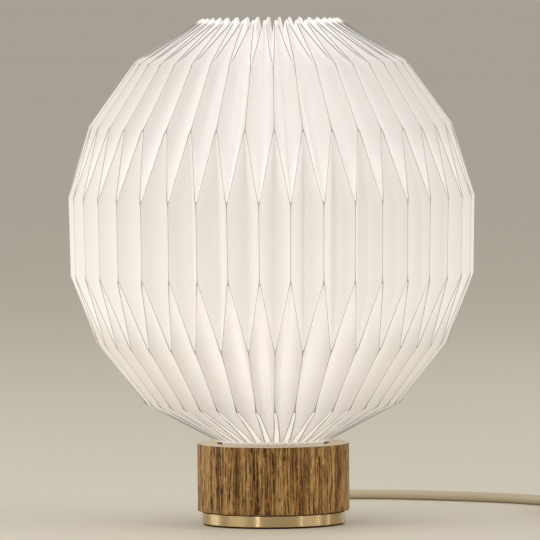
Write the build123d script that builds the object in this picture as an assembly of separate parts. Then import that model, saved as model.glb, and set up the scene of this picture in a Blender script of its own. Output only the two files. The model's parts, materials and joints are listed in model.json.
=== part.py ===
from build123d import *
import math
import os

# Pleated table lamp. Millimetres, Z up, the table top is z = 0, the lamp's axis is x = y = 0,
# and the cord leaves the base towards +Y. Heights are heights above the table.

# Pleated shade: ridge radius and height at each row of knuckles, from the top rim down.
# The foil is folded in panels that are glued edge to edge along a valley.
panel_count = 8
pleats_per_panel = 5
foil_thickness = 0.3
facet_width = 17.45
top_rim_radius = 41.0
top_rim_height = 304.0
crown_radius = 82.5
crown_height = 277.9
shoulder_radius = 109.2
shoulder_height = 240.4
upper_belly_radius = 122.5
upper_belly_height = 197.7
lower_belly_radius = 121.5
lower_belly_height = 150.6
hip_radius = 105.5
hip_height = 109.1
tuck_radius = 76.7
tuck_height = 73.0
bottom_rim_radius = 33.2
bottom_rim_height = 50.0
bottom_notch_inset = 2.2
bottom_notch_rise = 0.8
thread_radius = 0.4
thread_rise = 0.08
thread_inset = 0.03
corner_slack = 1e-3

# Collar in the shade's lower neck
collar_wall = 1.8
collar_rise = 22.0
collar_bead = 1.8
collar_foot_thickness = 2.2
neck_clearance = 0.3
seat_clearance = 0.1
recess_clearance = 0.5

# Foot pad, brass plate and oak ring
pad_radius = 42.0
pad_thickness = 1.0
brass_radius = 43.0
brass_thickness = 6.6
brass_edge = 0.5
shadow_gap = 0.8
spigot_radius = 41.5
oak_radius = 45.6
oak_height = 40.5
oak_edge = 0.8
oak_recess_depth = 8.0
oak_recess_radius = 33.8
oak_web = 8.0
oak_cavity_radius = 36.0

# Wood screws under the brass plate
plate_screw_count = 3
plate_screw_circle = 39.0
plate_screw_length = 20.0
plate_screw_radius = 1.5
plate_screw_head_radius = 3.2

# Threaded tube, its nuts and washers
tube_radius = 5.0
tube_bore_radius = 3.75
tube_below_nut = 1.5
tube_into_cap = 9.5
nut_across_flats = 14.0
nut_thickness = 3.0
washer_radius = 9.0
washer_thickness = 1.0
thread_clearance = 0.05

# Lampholder
cap_radius = 13.0
cap_wall = 1.8
cap_height = 20.0
cap_floor = 9.0
cap_foot_radius = 8.5
shell_radius = 14.2
shell_wall = 2.0
shell_overlap = 6.0
shell_height = 36.5
shell_lip = 2.5
block_radius = 11.0
block_depth = 5.0
block_flange = 1.5
block_height = 14.0
sleeve_radius = 7.2
sleeve_wall = 0.4
sleeve_flange_inner = 5.2
guard_wall = 1.0
terminal_offset = 6.0
terminal_width = 4.0
terminal_depth = 5.0
terminal_height = 7.0
rivet_radius = 1.1
strip_width = 4.0
strip_thickness = 0.5
contact_dome_height = 1.2
contact_dome_radius = 2.2
terminal_screw_radius = 1.0
terminal_screw_length = 3.5
part_clearance = 0.1

# Bulb
bulb_radius = 22.5
bulb_length = 78.0
bulb_neck_radius = 9.2
bulb_wall = 0.8
bulb_flare_angle = 35.0
end_contact_radius = 2.8
end_contact_height = 1.0
insulator_height = 3.4
screw_crest_radius = 6.95
screw_root_radius = 6.4
screw_pitch = 2.82
screw_turns = 5
screw_cap_skirt = 5.0
screw_cap_wall = 0.3
stem_base_radius = 4.5
stem_top_radius = 2.6
stem_height = 19.0
stem_flare = 2.5
filament_count = 4
filament_radius = 0.9
filament_length = 24.0
filament_tilt = 14.0

# Cord and its entry into the base
cord_diameter = 6.0
cord_axis_height = 16.0
core_radius = 0.9
core_spread = 1.5
core_bends = [4.5, 3.6, 1.35, 1.35]
cord_inner_start = 18.0
bush_clearance = 0.2
bush_barrel_wall = 1.3
bush_lip = 0.9
bush_lip_length = 1.8
bush_flange_radius = 6.6
bush_flange_length = 2.2
bush_sleeve_length = 28.0
bush_sleeve_root = 5.4
bush_sleeve_tip = 3.9
clamp_width = 26.0
clamp_length = 10.0
clamp_saddle_height = 5.0
clamp_gap = 1.6
clamp_position = 28.0
clamp_screw_offset = 9.0
clamp_screw_radius = 1.45
clamp_screw_head_radius = 2.8
clamp_screw_head_height = 1.8
clamp_screw_bite = 4.0

# In-line switch
switch_length = 62.0
switch_width = 24.0
switch_half_height = 7.5
switch_wall = 1.6
switch_corner = 6.0
switch_edge = 1.6
switch_centre = (191.0, 52.0)
switch_heading = -84.0
rocker_length = 17.0
rocker_width = 10.0
rocker_height = 6.0
rocker_tilt = 8.0
rocker_proud = 2.2
rocker_dish = 0.55
rocker_shoulder = 1.5
rocker_edge = 0.7
rocker_clearance = 0.4
rocker_pin_radius = 1.0
switch_screw_offset = 21.0
switch_screw_radius = 1.2
switch_screw_head_radius = 2.2
switch_post_radius = 2.8
switch_contact_offset = 6.0
switch_bite = 6.0

# Mains plug
plug_width = 35.3
plug_thickness = 13.7
plug_body_length = 24.0
plug_edge = 3.0
plug_neck_width = 14.0
plug_sleeve_length = 22.0
plug_sleeve_root = 5.4
plug_sleeve_tip = 4.0
plug_pin_radius = 2.0
plug_pin_length = 19.0
plug_pin_spacing = 19.0
plug_pin_bury = 12.0
plug_root_radius = 1.5

# Put-away coil of the cord and its two ties
coil_start_radius = 44.0
coil_turns = 6
coil_gap = 0.5
coil_arc_turns = 0.25
coil_samples = 72
tie_thickness = 0.5
tie_width = 12.0
tie_clearance = 0.3
straight_end = 6.0

# Share of the shorter run that each arc of a cord's tube takes
arc_share = 0.45

# Heights and radii that follow from the sizes above
cord_radius = cord_diameter / 2
brass_top = pad_thickness + brass_thickness
oak_bottom = brass_top + shadow_gap
oak_top = oak_bottom + oak_height
recess_floor = oak_top - oak_recess_depth
web_bottom = recess_floor - oak_web
pleat_count = panel_count * pleats_per_panel
half_pitch = math.pi / pleat_count
tube_bottom = web_bottom - washer_thickness - nut_thickness - tube_below_nut
holder_bottom = recess_floor + washer_thickness + nut_thickness
tube_top = holder_bottom + tube_into_cap
cap_top = holder_bottom + cap_height
block_bottom = cap_top - block_depth
block_top = block_bottom + block_height
strip_top = block_top + strip_thickness
shell_bottom = cap_top - shell_overlap
shell_top = shell_bottom + shell_height
sleeve_bottom = strip_top + contact_dome_height / 2
bulb_bottom = strip_top + contact_dome_height + part_clearance / 2
bulb_top = bulb_bottom + bulb_length
bush_end = oak_radius + bush_flange_length + bush_sleeve_length
coil_rise = cord_radius + tie_thickness + tie_clearance
coil_pitch = cord_diameter + coil_gap


def turned(profile):
    """Revolve a closed outline of (radius, height) points about the lamp's axis."""
    return revolve(Plane.XZ * make_face(Polyline(*profile, close=True)), Axis.Z)


def disc(radius, low, high):
    """A solid cylinder on the axis between two heights."""
    return Pos(0, 0, low) * Cylinder(radius, high - low, align=(Align.CENTER, Align.CENTER, Align.MIN))


def ring(inner, outer, low, high):
    """A plain ring on the axis between two heights."""
    return turned([(inner, low), (outer, low), (outer, high), (inner, high)])


def block(width, depth, low, high):
    """A box centred on the axis between two heights."""
    return Pos(0, 0, (low + high) / 2) * Box(width, depth, high - low)


def around(piece, count, radius, first=0.0):
    """Copies of a piece at equal angles on a circle, as a list."""
    turns = [first + 360.0 * k / count for k in range(count)]
    return [Rot(0, 0, turn) * Pos(radius, 0, 0) * piece for turn in turns]


def lengthwise(piece, height, start=0.0):
    """Turn a piece that stands on +Z so that it points along +Y at a height."""
    return Pos(0, start, height) * Rot(-90, 0, 0) * piece


# Pleated shade: every corner of the folded foil lies on one of two sets of upright planes, the ridge
# planes A (k whole pitches) and the planes B half a pitch on. Points here are (radius, height).

def rim_notch(ridge_end, tip):
    """The inner end of the top rim's zigzag: a right-angled corner one facet width from the ridge tip."""
    side = tip[0] * math.sin(half_pitch)
    centre = (tip[0] * math.cos(half_pitch), tip[1])
    near = math.sqrt(facet_width**2 - side**2)
    gap = math.dist(centre, ridge_end)
    along = (near**2 - (gap**2 + side**2 - facet_width**2) + gap**2) / (2 * gap)
    across = math.sqrt(near**2 - along**2)
    unit = ((ridge_end[0] - centre[0]) / gap, (ridge_end[1] - centre[1]) / gap)
    return (centre[0] + along * unit[0] + across * unit[1],
            centre[1] + along * unit[1] - across * unit[0])


crown = (crown_radius, crown_height)
tuck = (tuck_radius, tuck_height)
top_tip = (top_rim_radius, top_rim_height)
bottom_tip = (bottom_rim_radius, bottom_rim_height)
bottom_notch = (bottom_rim_radius - bottom_notch_inset, bottom_rim_height + bottom_notch_rise)

# Corner name to its plane and its (radius, height)
corners = {
    "top_notch": ("A", rim_notch(crown, top_tip)),
    "top_tip": ("B", top_tip),
    "crown": ("A", crown),
    "shoulder": ("A", (shoulder_radius, shoulder_height)),
    "upper_belly": ("B", (upper_belly_radius, upper_belly_height)),
    "lower_belly": ("B", (lower_belly_radius, lower_belly_height)),
    "hip": ("A", (hip_radius, hip_height)),
    "tuck": ("A", tuck),
    "bottom_tip": ("B", bottom_tip),
    "bottom_notch": ("A", bottom_notch),
}

# Triangles of half a pleat, from an A plane to the B plane after it, outside seen anticlockwise
facets = [
    ("crown", "top_tip", "top_notch"),
    ("crown", "upper_belly", "top_tip"),
    ("crown", "shoulder", "upper_belly"),
    ("shoulder", "lower_belly", "upper_belly"),
    ("shoulder", "hip", "lower_belly"),
    ("hip", "tuck", "lower_belly"),
    ("tuck", "bottom_tip", "lower_belly"),
    ("tuck", "bottom_notch", "bottom_tip"),
]


def corner_point(name, skin):
    """A corner of the first half pleat in space: its (radius, height) turned to its plane's azimuth."""
    radius, height = skin[name]
    azimuth = half_pitch if corners[name][0] == "B" else 0.0
    return Vector(radius * math.cos(azimuth), radius * math.sin(azimuth), height)


def facet_normal(names, skin):
    """The outward unit normal of one triangle of the first half pleat."""
    a, b, c = [corner_point(name, skin) for name in names]
    return (b - a).cross(c - a).normalized()


def inner_corner(name, skin):
    """Move a corner in its own plane until it is one foil thickness under the facets that meet there.

    With unit normals n in that plane, least squares on n . move = -thickness gives the move.
    """
    azimuth = half_pitch if corners[name][0] == "B" else 0.0
    outward = Vector(math.cos(azimuth), math.sin(azimuth), 0)
    rr = rz = zz = 0.0
    pull_r = pull_z = 0.0
    for names in facets:
        if name in names:
            normal = facet_normal(names, skin)
            along = normal.dot(outward)
            rr += along * along
            rz += along * normal.Z
            zz += normal.Z * normal.Z
            pull_r -= along * foil_thickness
            pull_z -= normal.Z * foil_thickness
    slack = corner_slack * (rr + zz)
    rr += slack
    zz += slack
    spread = rr * zz - rz * rz
    radius, height = skin[name]
    return (radius + (pull_r * zz - pull_z * rz) / spread, height + (pull_z * rr - pull_r * rz) / spread)


# Corners along a panel's glued edge, all in one B plane, from the top rim down
glued_edge = ["top_tip", "upper_belly", "lower_belly", "bottom_tip"]

outer_skin = {name: place for name, (plane, place) in corners.items()}
inner_skin = {name: inner_corner(name, outer_skin) for name in corners}


def flat_face(*points):
    return Face(Wire.make_polygon(points, close=True))


def pleat_corner(name, skin, pleat, mirrored=False):
    """A corner of a numbered pleat in space; the half before its A plane mirrors the half after it."""
    point = corner_point(name, skin)
    across = -point.Y if mirrored else point.Y
    turn = 2 * half_pitch * pleat
    return Vector(point.X * math.cos(turn) - across * math.sin(turn),
                  point.X * math.sin(turn) + across * math.cos(turn), point.Z)


def half_pleat_faces(pleat, mirrored):
    """The outer skin, the inner skin and the zigzag rim edges of half a pleat."""
    faces = []
    for names in facets:
        for skin in (outer_skin, inner_skin):
            faces.append(flat_face(*[pleat_corner(name, skin, pleat, mirrored) for name in names]))
    for tip, notch in (("top_tip", "top_notch"), ("bottom_tip", "bottom_notch")):
        rim = [pleat_corner(name, outer_skin, pleat, mirrored) for name in (tip, notch)]
        lining = [pleat_corner(name, inner_skin, pleat, mirrored) for name in (tip, notch)]
        faces.append(flat_face(rim[0], rim[1], lining[0]))
        faces.append(flat_face(rim[1], lining[1], lining[0]))
    return faces


def glued_edge_faces(pleat, mirrored):
    """A panel's side edge: the foil's cut thickness along a B plane, one face for each fold line."""
    faces = []
    for upper, lower in zip(glued_edge, glued_edge[1:]):
        faces.append(flat_face(pleat_corner(upper, outer_skin, pleat, mirrored),
                               pleat_corner(lower, outer_skin, pleat, mirrored),
                               pleat_corner(lower, inner_skin, pleat, mirrored),
                               pleat_corner(upper, inner_skin, pleat, mirrored)))
    return faces


def make_shade_panel(panel):
    """One folded strip of foil, from a B plane to the B plane some pleats on."""
    first = panel * pleats_per_panel
    faces = []
    for pleat in range(first, first + pleats_per_panel):
        faces += half_pleat_faces(pleat, False) + half_pleat_faces(pleat, True)
    faces += glued_edge_faces(first, True)
    faces += glued_edge_faces(first + pleats_per_panel - 1, False)
    return Solid(Shell(faces))


def make_pleated_shade():
    return Compound(children=[make_shade_panel(panel) for panel in range(panel_count)])


neck_inner_radius = min(inner_skin["bottom_notch"][0], outer_skin["bottom_notch"][0])
notch_lowest = min(inner_skin["bottom_notch"][1], outer_skin["bottom_notch"][1])
collar_tube_radius = neck_inner_radius - neck_clearance
collar_bore_radius = collar_tube_radius - collar_wall
collar_bead_radius = outer_skin["bottom_notch"][0]
collar_bead_top = notch_lowest - neck_clearance
collar_foot_radius = oak_recess_radius - recess_clearance
collar_bottom = recess_floor + seat_clearance
collar_top = outer_skin["bottom_notch"][1] + collar_rise


def thread_seat():
    """Radius and height of the rim thread: a share of the way up the rim's edge, then towards the crown."""
    notch = corners["top_notch"][1]
    edge = [low + thread_rise * (high - low) for low, high in zip(notch, top_tip)]
    return [near + thread_inset * (far - near) for near, far in zip(edge, crown)]


def make_rim_thread():
    """The thread that gathers the pleats, a closed ring that runs through every facet near the rim."""
    radius, height = thread_seat()
    return Pos(0, 0, height) * Torus(radius, thread_radius)


def make_shade_collar():
    """A tall thin tube in the neck, a bead that carries the pleats' inner ends and a foot in the recess."""
    foot_top = collar_bottom + collar_foot_thickness
    return turned([
        (collar_bore_radius, collar_bottom),
        (collar_foot_radius, collar_bottom),
        (collar_foot_radius, foot_top),
        (collar_tube_radius, foot_top),
        (collar_tube_radius, collar_bead_top - collar_bead),
        (collar_bead_radius, collar_bead_top - collar_bead / 2),
        (collar_bead_radius, collar_bead_top),
        (collar_tube_radius, collar_bead_top),
        (collar_tube_radius, collar_top),
        (collar_bore_radius, collar_top),
    ])


# Base

def plate_screw_places(piece):
    """The three screw places round the plate, clear of the cord's side."""
    return around(piece, plate_screw_count, plate_screw_circle, first=-90.0)


def make_foot_pad():
    return disc(pad_radius, 0, pad_thickness)


def make_brass_plate():
    plate = disc(brass_radius, pad_thickness, brass_top)
    plate = chamfer(plate.edges().filter_by(GeomType.CIRCLE), brass_edge)
    plate += disc(spigot_radius, brass_top, oak_bottom)
    sink = plate_screw_head_radius - plate_screw_radius
    hole = turned([
        (0, pad_thickness),
        (plate_screw_head_radius + part_clearance, pad_thickness),
        (plate_screw_radius + part_clearance, pad_thickness + sink),
        (plate_screw_radius + part_clearance, oak_bottom),
        (0, oak_bottom),
    ])
    plate -= plate_screw_places(hole)
    tapped = disc(clamp_screw_radius + thread_clearance, oak_bottom - clamp_screw_bite, oak_bottom)
    for side in (-1, 1):
        plate -= Pos(side * clamp_screw_offset, clamp_position, 0) * tapped
    return plate


def make_plate_screws():
    sink = plate_screw_head_radius - plate_screw_radius
    screw = turned([
        (0, pad_thickness),
        (plate_screw_head_radius, pad_thickness),
        (plate_screw_radius, pad_thickness + sink),
        (plate_screw_radius, pad_thickness + plate_screw_length - plate_screw_radius),
        (0, pad_thickness + plate_screw_length),
    ])
    return Compound(children=plate_screw_places(screw))


def make_oak_ring():
    """A turned ring: a recess for the collar above, a web with the tube's hole, a cavity below."""
    oak = turned([
        (tube_radius + part_clearance, web_bottom),
        (oak_cavity_radius, web_bottom),
        (oak_cavity_radius, oak_bottom),
        (oak_radius, oak_bottom),
        (oak_radius, oak_top),
        (oak_recess_radius, oak_top),
        (oak_recess_radius, recess_floor),
        (tube_radius + part_clearance, recess_floor),
    ])
    outer_edges = oak.edges().filter_by(GeomType.CIRCLE).filter_by(
        lambda edge: edge.radius > oak_radius - part_clearance)
    oak = fillet(outer_edges, oak_edge)
    pilot = disc(plate_screw_radius + thread_clearance, oak_bottom,
                 pad_thickness + plate_screw_length + part_clearance)
    oak -= plate_screw_places(pilot)
    barrel = Cylinder(cord_radius + bush_clearance + bush_barrel_wall + part_clearance,
                      oak_radius, align=(Align.CENTER, Align.CENTER, Align.MIN))
    oak -= lengthwise(barrel, cord_axis_height, oak_cavity_radius / 2)
    return oak


# Tube, nuts and washers

def hex_nut(low):
    nut = extrude(RegularPolygon(nut_across_flats / 2, 6, major_radius=False), nut_thickness)
    return Pos(0, 0, low) * (nut - disc(tube_radius + thread_clearance, 0, nut_thickness))


def make_washer(low):
    return ring(tube_radius + part_clearance, washer_radius, low, low + washer_thickness)


def make_threaded_tube():
    return ring(tube_bore_radius, tube_radius, tube_bottom, tube_top)


# Lampholder

def make_holder_cap():
    return turned([
        (tube_radius + thread_clearance, holder_bottom),
        (cap_foot_radius, holder_bottom),
        (cap_radius, holder_bottom + cap_radius - cap_foot_radius),
        (cap_radius, cap_top),
        (cap_radius - cap_wall, cap_top),
        (cap_radius - cap_wall, holder_bottom + cap_floor),
        (tube_radius + thread_clearance, holder_bottom + cap_floor),
    ])


def make_holder_shell():
    """The outer skirt over the cap, its lip at the top and the guard tube round the sleeve."""
    inner = shell_radius - shell_wall
    guard_inner = sleeve_radius + sleeve_wall + part_clearance
    shoulder = cap_top + block_flange + part_clearance
    return turned([
        (cap_radius + part_clearance, shell_bottom),
        (shell_radius, shell_bottom),
        (shell_radius, shell_top),
        (guard_inner, shell_top),
        (guard_inner, sleeve_bottom),
        (guard_inner + guard_wall, sleeve_bottom),
        (guard_inner + guard_wall, shell_top - shell_lip),
        (inner, shell_top - shell_lip),
        (inner, shoulder),
        (cap_radius + part_clearance, shoulder),
    ])


def make_terminal_block():
    """The insulating block: pockets for the terminals below, a rivet hole above each."""
    body = disc(block_radius, block_bottom, block_top)
    body += disc(cap_radius - part_clearance, cap_top, cap_top + block_flange)
    pocket = block(terminal_width + 2 * part_clearance, terminal_depth + 2 * part_clearance,
                   block_bottom, block_bottom + terminal_height + part_clearance)
    rivet = disc(rivet_radius + thread_clearance, block_bottom, block_top)
    slot_radius = terminal_screw_radius + 2 * part_clearance
    slot_length = terminal_depth / 2 + terminal_screw_length
    slot = lengthwise(Cylinder(slot_radius, slot_length, align=(Align.CENTER, Align.CENTER, Align.MIN)),
                      block_bottom + terminal_height / 2)
    for side in (-1, 1):
        body -= Pos(side * terminal_offset, 0, 0) * pocket
        body -= Pos(side * terminal_offset, 0, 0) * rivet
        body -= Pos(side * terminal_offset, 0, 0) * slot
    return body


def make_terminals():
    """Two brass terminals, each with a core hole below, a screw hole in its side and a rivet above."""
    base = block(terminal_width, terminal_depth, block_bottom, block_bottom + terminal_height)
    base -= disc(core_radius + thread_clearance, block_bottom, block_bottom + terminal_height / 2)
    screw_hole = Cylinder(terminal_screw_radius + thread_clearance, terminal_depth,
                          align=(Align.CENTER, Align.CENTER, Align.MIN))
    base -= lengthwise(screw_hole, block_bottom + terminal_height / 2, core_radius)
    left = base + disc(rivet_radius, block_bottom + terminal_height, block_top)
    right = base + disc(rivet_radius, block_bottom + terminal_height, sleeve_bottom)
    return Compound(children=[Pos(-terminal_offset, 0, 0) * left, Pos(terminal_offset, 0, 0) * right])


def make_terminal_screws():
    screw = Cylinder(terminal_screw_radius, terminal_screw_length,
                     align=(Align.CENTER, Align.CENTER, Align.MIN))
    height = block_bottom + terminal_height / 2
    start = core_radius + part_clearance
    return Compound(children=[Pos(side * terminal_offset, 0, 0) * lengthwise(screw, height, start)
                              for side in (-1, 1)])


def make_centre_contact():
    """A spring strip from the left rivet to the axis, with the dome that the bulb presses on."""
    reach = terminal_offset + strip_width / 2
    strip = Pos(-reach / 2 + contact_dome_radius / 2, 0, block_top + strip_thickness / 2) * Box(
        reach + contact_dome_radius, strip_width, strip_thickness)
    dome = turned([
        (0, block_top),
        (contact_dome_radius, block_top),
        (contact_dome_radius, strip_top),
        (contact_dome_radius / 2, strip_top + contact_dome_height),
        (0, strip_top + contact_dome_height),
    ])
    return strip + dome


def make_screw_sleeve():
    outer = sleeve_radius + sleeve_wall
    return turned([
        (sleeve_flange_inner, sleeve_bottom),
        (outer, sleeve_bottom),
        (outer, shell_top - part_clearance),
        (sleeve_radius, shell_top - part_clearance),
        (sleeve_radius, sleeve_bottom + sleeve_wall),
        (sleeve_flange_inner, sleeve_bottom + sleeve_wall),
    ])


# Bulb

screw_bottom = bulb_bottom + end_contact_height + insulator_height
screw_top = screw_bottom + screw_pitch * screw_turns
cap_rim = max(screw_top, shell_top + part_clearance) + screw_cap_skirt
bulb_centre = bulb_top - bulb_radius


def make_bulb_end_contact():
    return disc(end_contact_radius, bulb_bottom, bulb_bottom + end_contact_height)


def make_bulb_insulator():
    low = bulb_bottom + end_contact_height
    return turned([
        (0, low),
        (end_contact_radius + 2 * part_clearance, low),
        (screw_root_radius - screw_cap_wall, screw_bottom),
        (0, screw_bottom),
    ])


def make_bulb_screw_cap():
    """A thin cap: a closed floor, rolled rings that stand for the thread, and a flared skirt."""
    outline = [(0, screw_bottom)]
    for turn in range(screw_turns):
        low = screw_bottom + turn * screw_pitch
        outline.append((screw_root_radius, low))
        outline.append((screw_crest_radius, low + screw_pitch / 2))
    outline.append((screw_root_radius, screw_top))
    outline.append((screw_root_radius, cap_rim - screw_cap_skirt))
    outline.append((bulb_neck_radius, cap_rim))
    outline.append((bulb_neck_radius - screw_cap_wall, cap_rim))
    outline.append((screw_root_radius - screw_cap_wall, cap_rim - screw_cap_skirt))
    outline.append((screw_root_radius - screw_cap_wall, screw_bottom + screw_cap_wall))
    outline.append((0, screw_bottom + screw_cap_wall))
    return turned(outline)


def bulb_outline(radius, neck):
    """Half the bulb's outline: a straight neck, a tangent flare and the round top, as a face."""
    low = cap_rim + part_clearance
    angle = math.radians(bulb_flare_angle)
    foot = (radius * math.cos(angle), bulb_centre - radius * math.sin(angle))
    round_top = CenterArc((0, bulb_centre), radius, -bulb_flare_angle, 90 + bulb_flare_angle)
    flare = Spline((neck, low), foot, tangents=[(0, 1), (math.sin(angle), math.cos(angle))])
    axis = Polyline((0, bulb_centre + radius), (0, low), (neck, low))
    return make_face([axis, flare, round_top])


def make_bulb_glass():
    outer = revolve(Plane.XZ * bulb_outline(bulb_radius, bulb_neck_radius), Axis.Z)
    inner = revolve(Plane.XZ * bulb_outline(bulb_radius - bulb_wall, bulb_neck_radius - bulb_wall), Axis.Z)
    return outer - inner


def make_bulb_stem():
    """The glass stem: a flare that joins the bulb's neck, then a taper up to the filaments."""
    low = cap_rim + part_clearance
    return turned([
        (0, low),
        (bulb_neck_radius - bulb_wall - part_clearance, low),
        (stem_base_radius, low + stem_flare),
        (stem_top_radius, cap_rim + stem_height),
        (0, cap_rim + stem_height),
    ])


def make_bulb_filaments():
    stick = Rot(0, filament_tilt, 0) * disc(filament_radius, 0, filament_length)
    lift = cap_rim + stem_height + filament_radius * math.sin(math.radians(filament_tilt)) + part_clearance
    places = around(stick, filament_count, stem_top_radius - filament_radius)
    return Compound(children=[Pos(0, 0, lift) * place for place in places])


# Cord entry

def make_cord_bush():
    """Barrel through the oak, a lip inside, a flange against the oak and a tapered sleeve."""
    bore = cord_radius + bush_clearance / 2
    barrel = cord_radius + bush_clearance + bush_barrel_wall
    inside = math.sqrt(oak_cavity_radius**2 - (barrel + bush_lip)**2) - part_clearance
    flange_end = oak_radius + bush_flange_length
    bush = turned([
        (bore, inside - bush_lip_length),
        (barrel, inside - bush_lip_length),
        (barrel + bush_lip, inside),
        (barrel, inside),
        (barrel, oak_radius - bush_flange_length),
        (bush_flange_radius, oak_radius - bush_flange_length),
        (bush_flange_radius, flange_end),
        (bush_sleeve_root, flange_end),
        (bush_sleeve_tip, bush_end),
        (bore, bush_end),
    ])
    bush = lengthwise(bush, cord_axis_height)
    flange_seat = ring(barrel, 2 * bush_flange_radius, 0, 2 * bush_flange_length)
    oak_wall = disc(oak_radius + part_clearance, oak_bottom, oak_top)
    cutter = lengthwise(flange_seat, cord_axis_height, oak_radius - 2 * bush_flange_length) & oak_wall
    return bush - cutter


def make_cord_inner_end():
    length = bush_end - cord_inner_start
    return lengthwise(Cylinder(cord_radius, length, align=(Align.CENTER, Align.CENTER, Align.MIN)),
                      cord_axis_height, cord_inner_start)


def clamp_bar(low, high):
    """One half of the clamp with its two screw holes and the cord's groove."""
    bar = Pos(0, clamp_position, 0) * block(clamp_width, clamp_length, low, high)
    hole = disc(clamp_screw_radius + part_clearance, low, high)
    for side in (-1, 1):
        bar -= Pos(side * clamp_screw_offset, clamp_position, 0) * hole
    groove = Cylinder(cord_radius + thread_clearance, 2 * oak_cavity_radius)
    return bar - lengthwise(groove, cord_axis_height)


clamp_split = cord_axis_height - clamp_gap / 2
saddle_top = clamp_split + clamp_gap + clamp_saddle_height


def make_clamp_screws():
    screw = disc(clamp_screw_radius, oak_bottom - clamp_screw_bite + part_clearance, saddle_top)
    screw += disc(clamp_screw_head_radius, saddle_top, saddle_top + clamp_screw_head_height)
    return Compound(children=[Pos(side * clamp_screw_offset, clamp_position, 0) * screw for side in (-1, 1)])


def tube_along(path, radius):
    """Sweep a round section along a path of straight runs and tangent arcs, and compare its volume."""
    start = path @ 0
    heading = path % 0
    solid = sweep(Plane(origin=start, z_dir=heading) * Circle(radius), path=path)
    expected = math.pi * radius**2 * path.length
    print("tube", round(path.length, 1), "mm long, volume ratio", round(solid.volume / expected, 4))
    return solid


def make_core(side):
    """One insulated core, from the cord's stripped end up the tube to its terminal."""
    x = side * core_spread
    outer_x = side * terminal_offset
    entry = block_bottom - core_radius
    route = FilletPolyline(
        (x, cord_inner_start, cord_axis_height),
        (x, cord_inner_start / 2, cord_axis_height),
        (x, 0, (cord_axis_height + tube_bottom) / 2),
        (x, 0, tube_top),
        (outer_x, 0, entry),
        (outer_x, 0, block_bottom + terminal_height / 2 - part_clearance),
        radius=core_bends)
    return tube_along(route, core_radius)


# Cord route outside the base

def bend_radii(points):
    """The arc at each corner: its share of the shorter run, divided by the tangent of half the turn."""
    radii = []
    for before, corner, after in zip(points, points[1:], points[2:]):
        arrive = Vector(*corner) - Vector(*before)
        leave = Vector(*after) - Vector(*corner)
        turn = math.radians(arrive.get_angle(leave))
        radii.append(arc_share * min(arrive.length, leave.length) / math.tan(turn / 2))
    return radii


def cord_stretch(points):
    """A free stretch of the cord as a tube with large arcs; prints its tightest radius."""
    radii = bend_radii(points)
    print("radii of the stretch, smallest", round(min(radii), 1), "all", [round(r) for r in radii])
    return tube_along(FilletPolyline(*points, radius=radii), cord_radius)


switch_axis = Vector(math.cos(math.radians(switch_heading)), math.sin(math.radians(switch_heading)), 0)
switch_middle = Vector(*switch_centre, switch_half_height)


def switch_port(side, beyond=0.0):
    """The point on the cord's axis at an end of the switch, or beyond it."""
    place = switch_middle + switch_axis * (side * (switch_length / 2 + beyond))
    return (place.X, place.Y, place.Z)


lead_route = [
    (0, bush_end, cord_axis_height),
    (0, 91, cord_axis_height),
    (0.6, 107, 12.4),
    (2.2, 125, 6.0),
    (5, 144, 3.1),
    (9.5, 163, 3.1),
    (18, 180.5, 3.1),
    (32, 193.5, 3.1),
    (51, 198.5, 3.1),
    (73, 195, 3.1),
    (98, 184, 3.1),
    (126, 168, 3.1),
    (150, 151, 3.1),
    (167, 132, 3.1),
    (179, 113, 4.3),
    switch_port(-1, 12.0),
    switch_port(-1, -switch_bite),
]

coil_centre = (241.0, -22.0)
coil_west = coil_centre[0] - coil_start_radius
coil_layers = (coil_rise, coil_rise + coil_pitch)
coil_start = coil_centre[1] + straight_end
coil_end = coil_centre[1] - straight_end
plug_entry = (coil_west + 2.0, -86.0, plug_thickness / 2)

middle_route = [
    switch_port(1, -switch_bite),
    switch_port(1, 8.0),
    (196.6, 1.0, 5.2),
    (coil_west, coil_start + 10.0, coil_rise),
    (coil_west, coil_start, coil_rise),
]

tail_route = [
    (coil_west, coil_end, coil_layers[1]),
    (coil_west, coil_end - 11.0, coil_layers[1]),
    (coil_west + 0.8, -53.0, 8.6),
    (coil_west + 2.0, -68.0, plug_thickness / 2 - 0.6),
    (coil_west + 2.0, -77.0, plug_thickness / 2),
    plug_entry,
]


# Coil: a flat spiral in and out again, with the climb to the upper layer where it turns back

def coil_point(turn):
    """Radius, height and their rates per radian after some turns of the coil."""
    middle = coil_turns / 2
    inward = min(turn, coil_turns - turn)
    radius = coil_start_radius - coil_pitch * inward
    slope = 0.0 if turn == middle else math.copysign(coil_pitch / (2 * math.pi), turn - middle)
    climb = min(max(turn - middle + 0.25, 0.0), 0.5) * 2 * math.pi
    height = coil_layers[0] + coil_pitch * (1 - math.cos(climb)) / 2
    rise = coil_pitch / 2 * math.sin(climb)
    return radius, slope, height, rise


def coil_place(turn):
    """A point of the coil and the cord's direction there; it starts at the coil's west side."""
    radius, slope, height, rise = coil_point(turn)
    angle = math.pi + 2 * math.pi * turn
    outward = Vector(math.cos(angle), math.sin(angle), 0)
    forward = Vector(-math.sin(angle), math.cos(angle), 0)
    point = Vector(*coil_centre, height) + outward * radius
    heading = forward if turn in (0, coil_turns) else outward * slope + forward * radius + Vector(0, 0, rise)
    return point, heading.normalized()


def biarc(start, heading, end, final):
    """Two arcs that leave one point and reach another in given directions."""
    reach = end - start
    both = heading + final
    bend = 2 * (1 - heading.dot(final))
    step = (math.sqrt(reach.dot(both)**2 + bend * reach.dot(reach)) - reach.dot(both)) / bend
    middle = (start + end + (heading - final) * step) * 0.5
    turned_heading = ((middle - start).normalized() * 2 * heading.dot((middle - start).normalized())
                      - heading).normalized()
    return [Edge.make_tangent_arc(start, heading, middle), Edge.make_tangent_arc(middle, turned_heading, end)]


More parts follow.
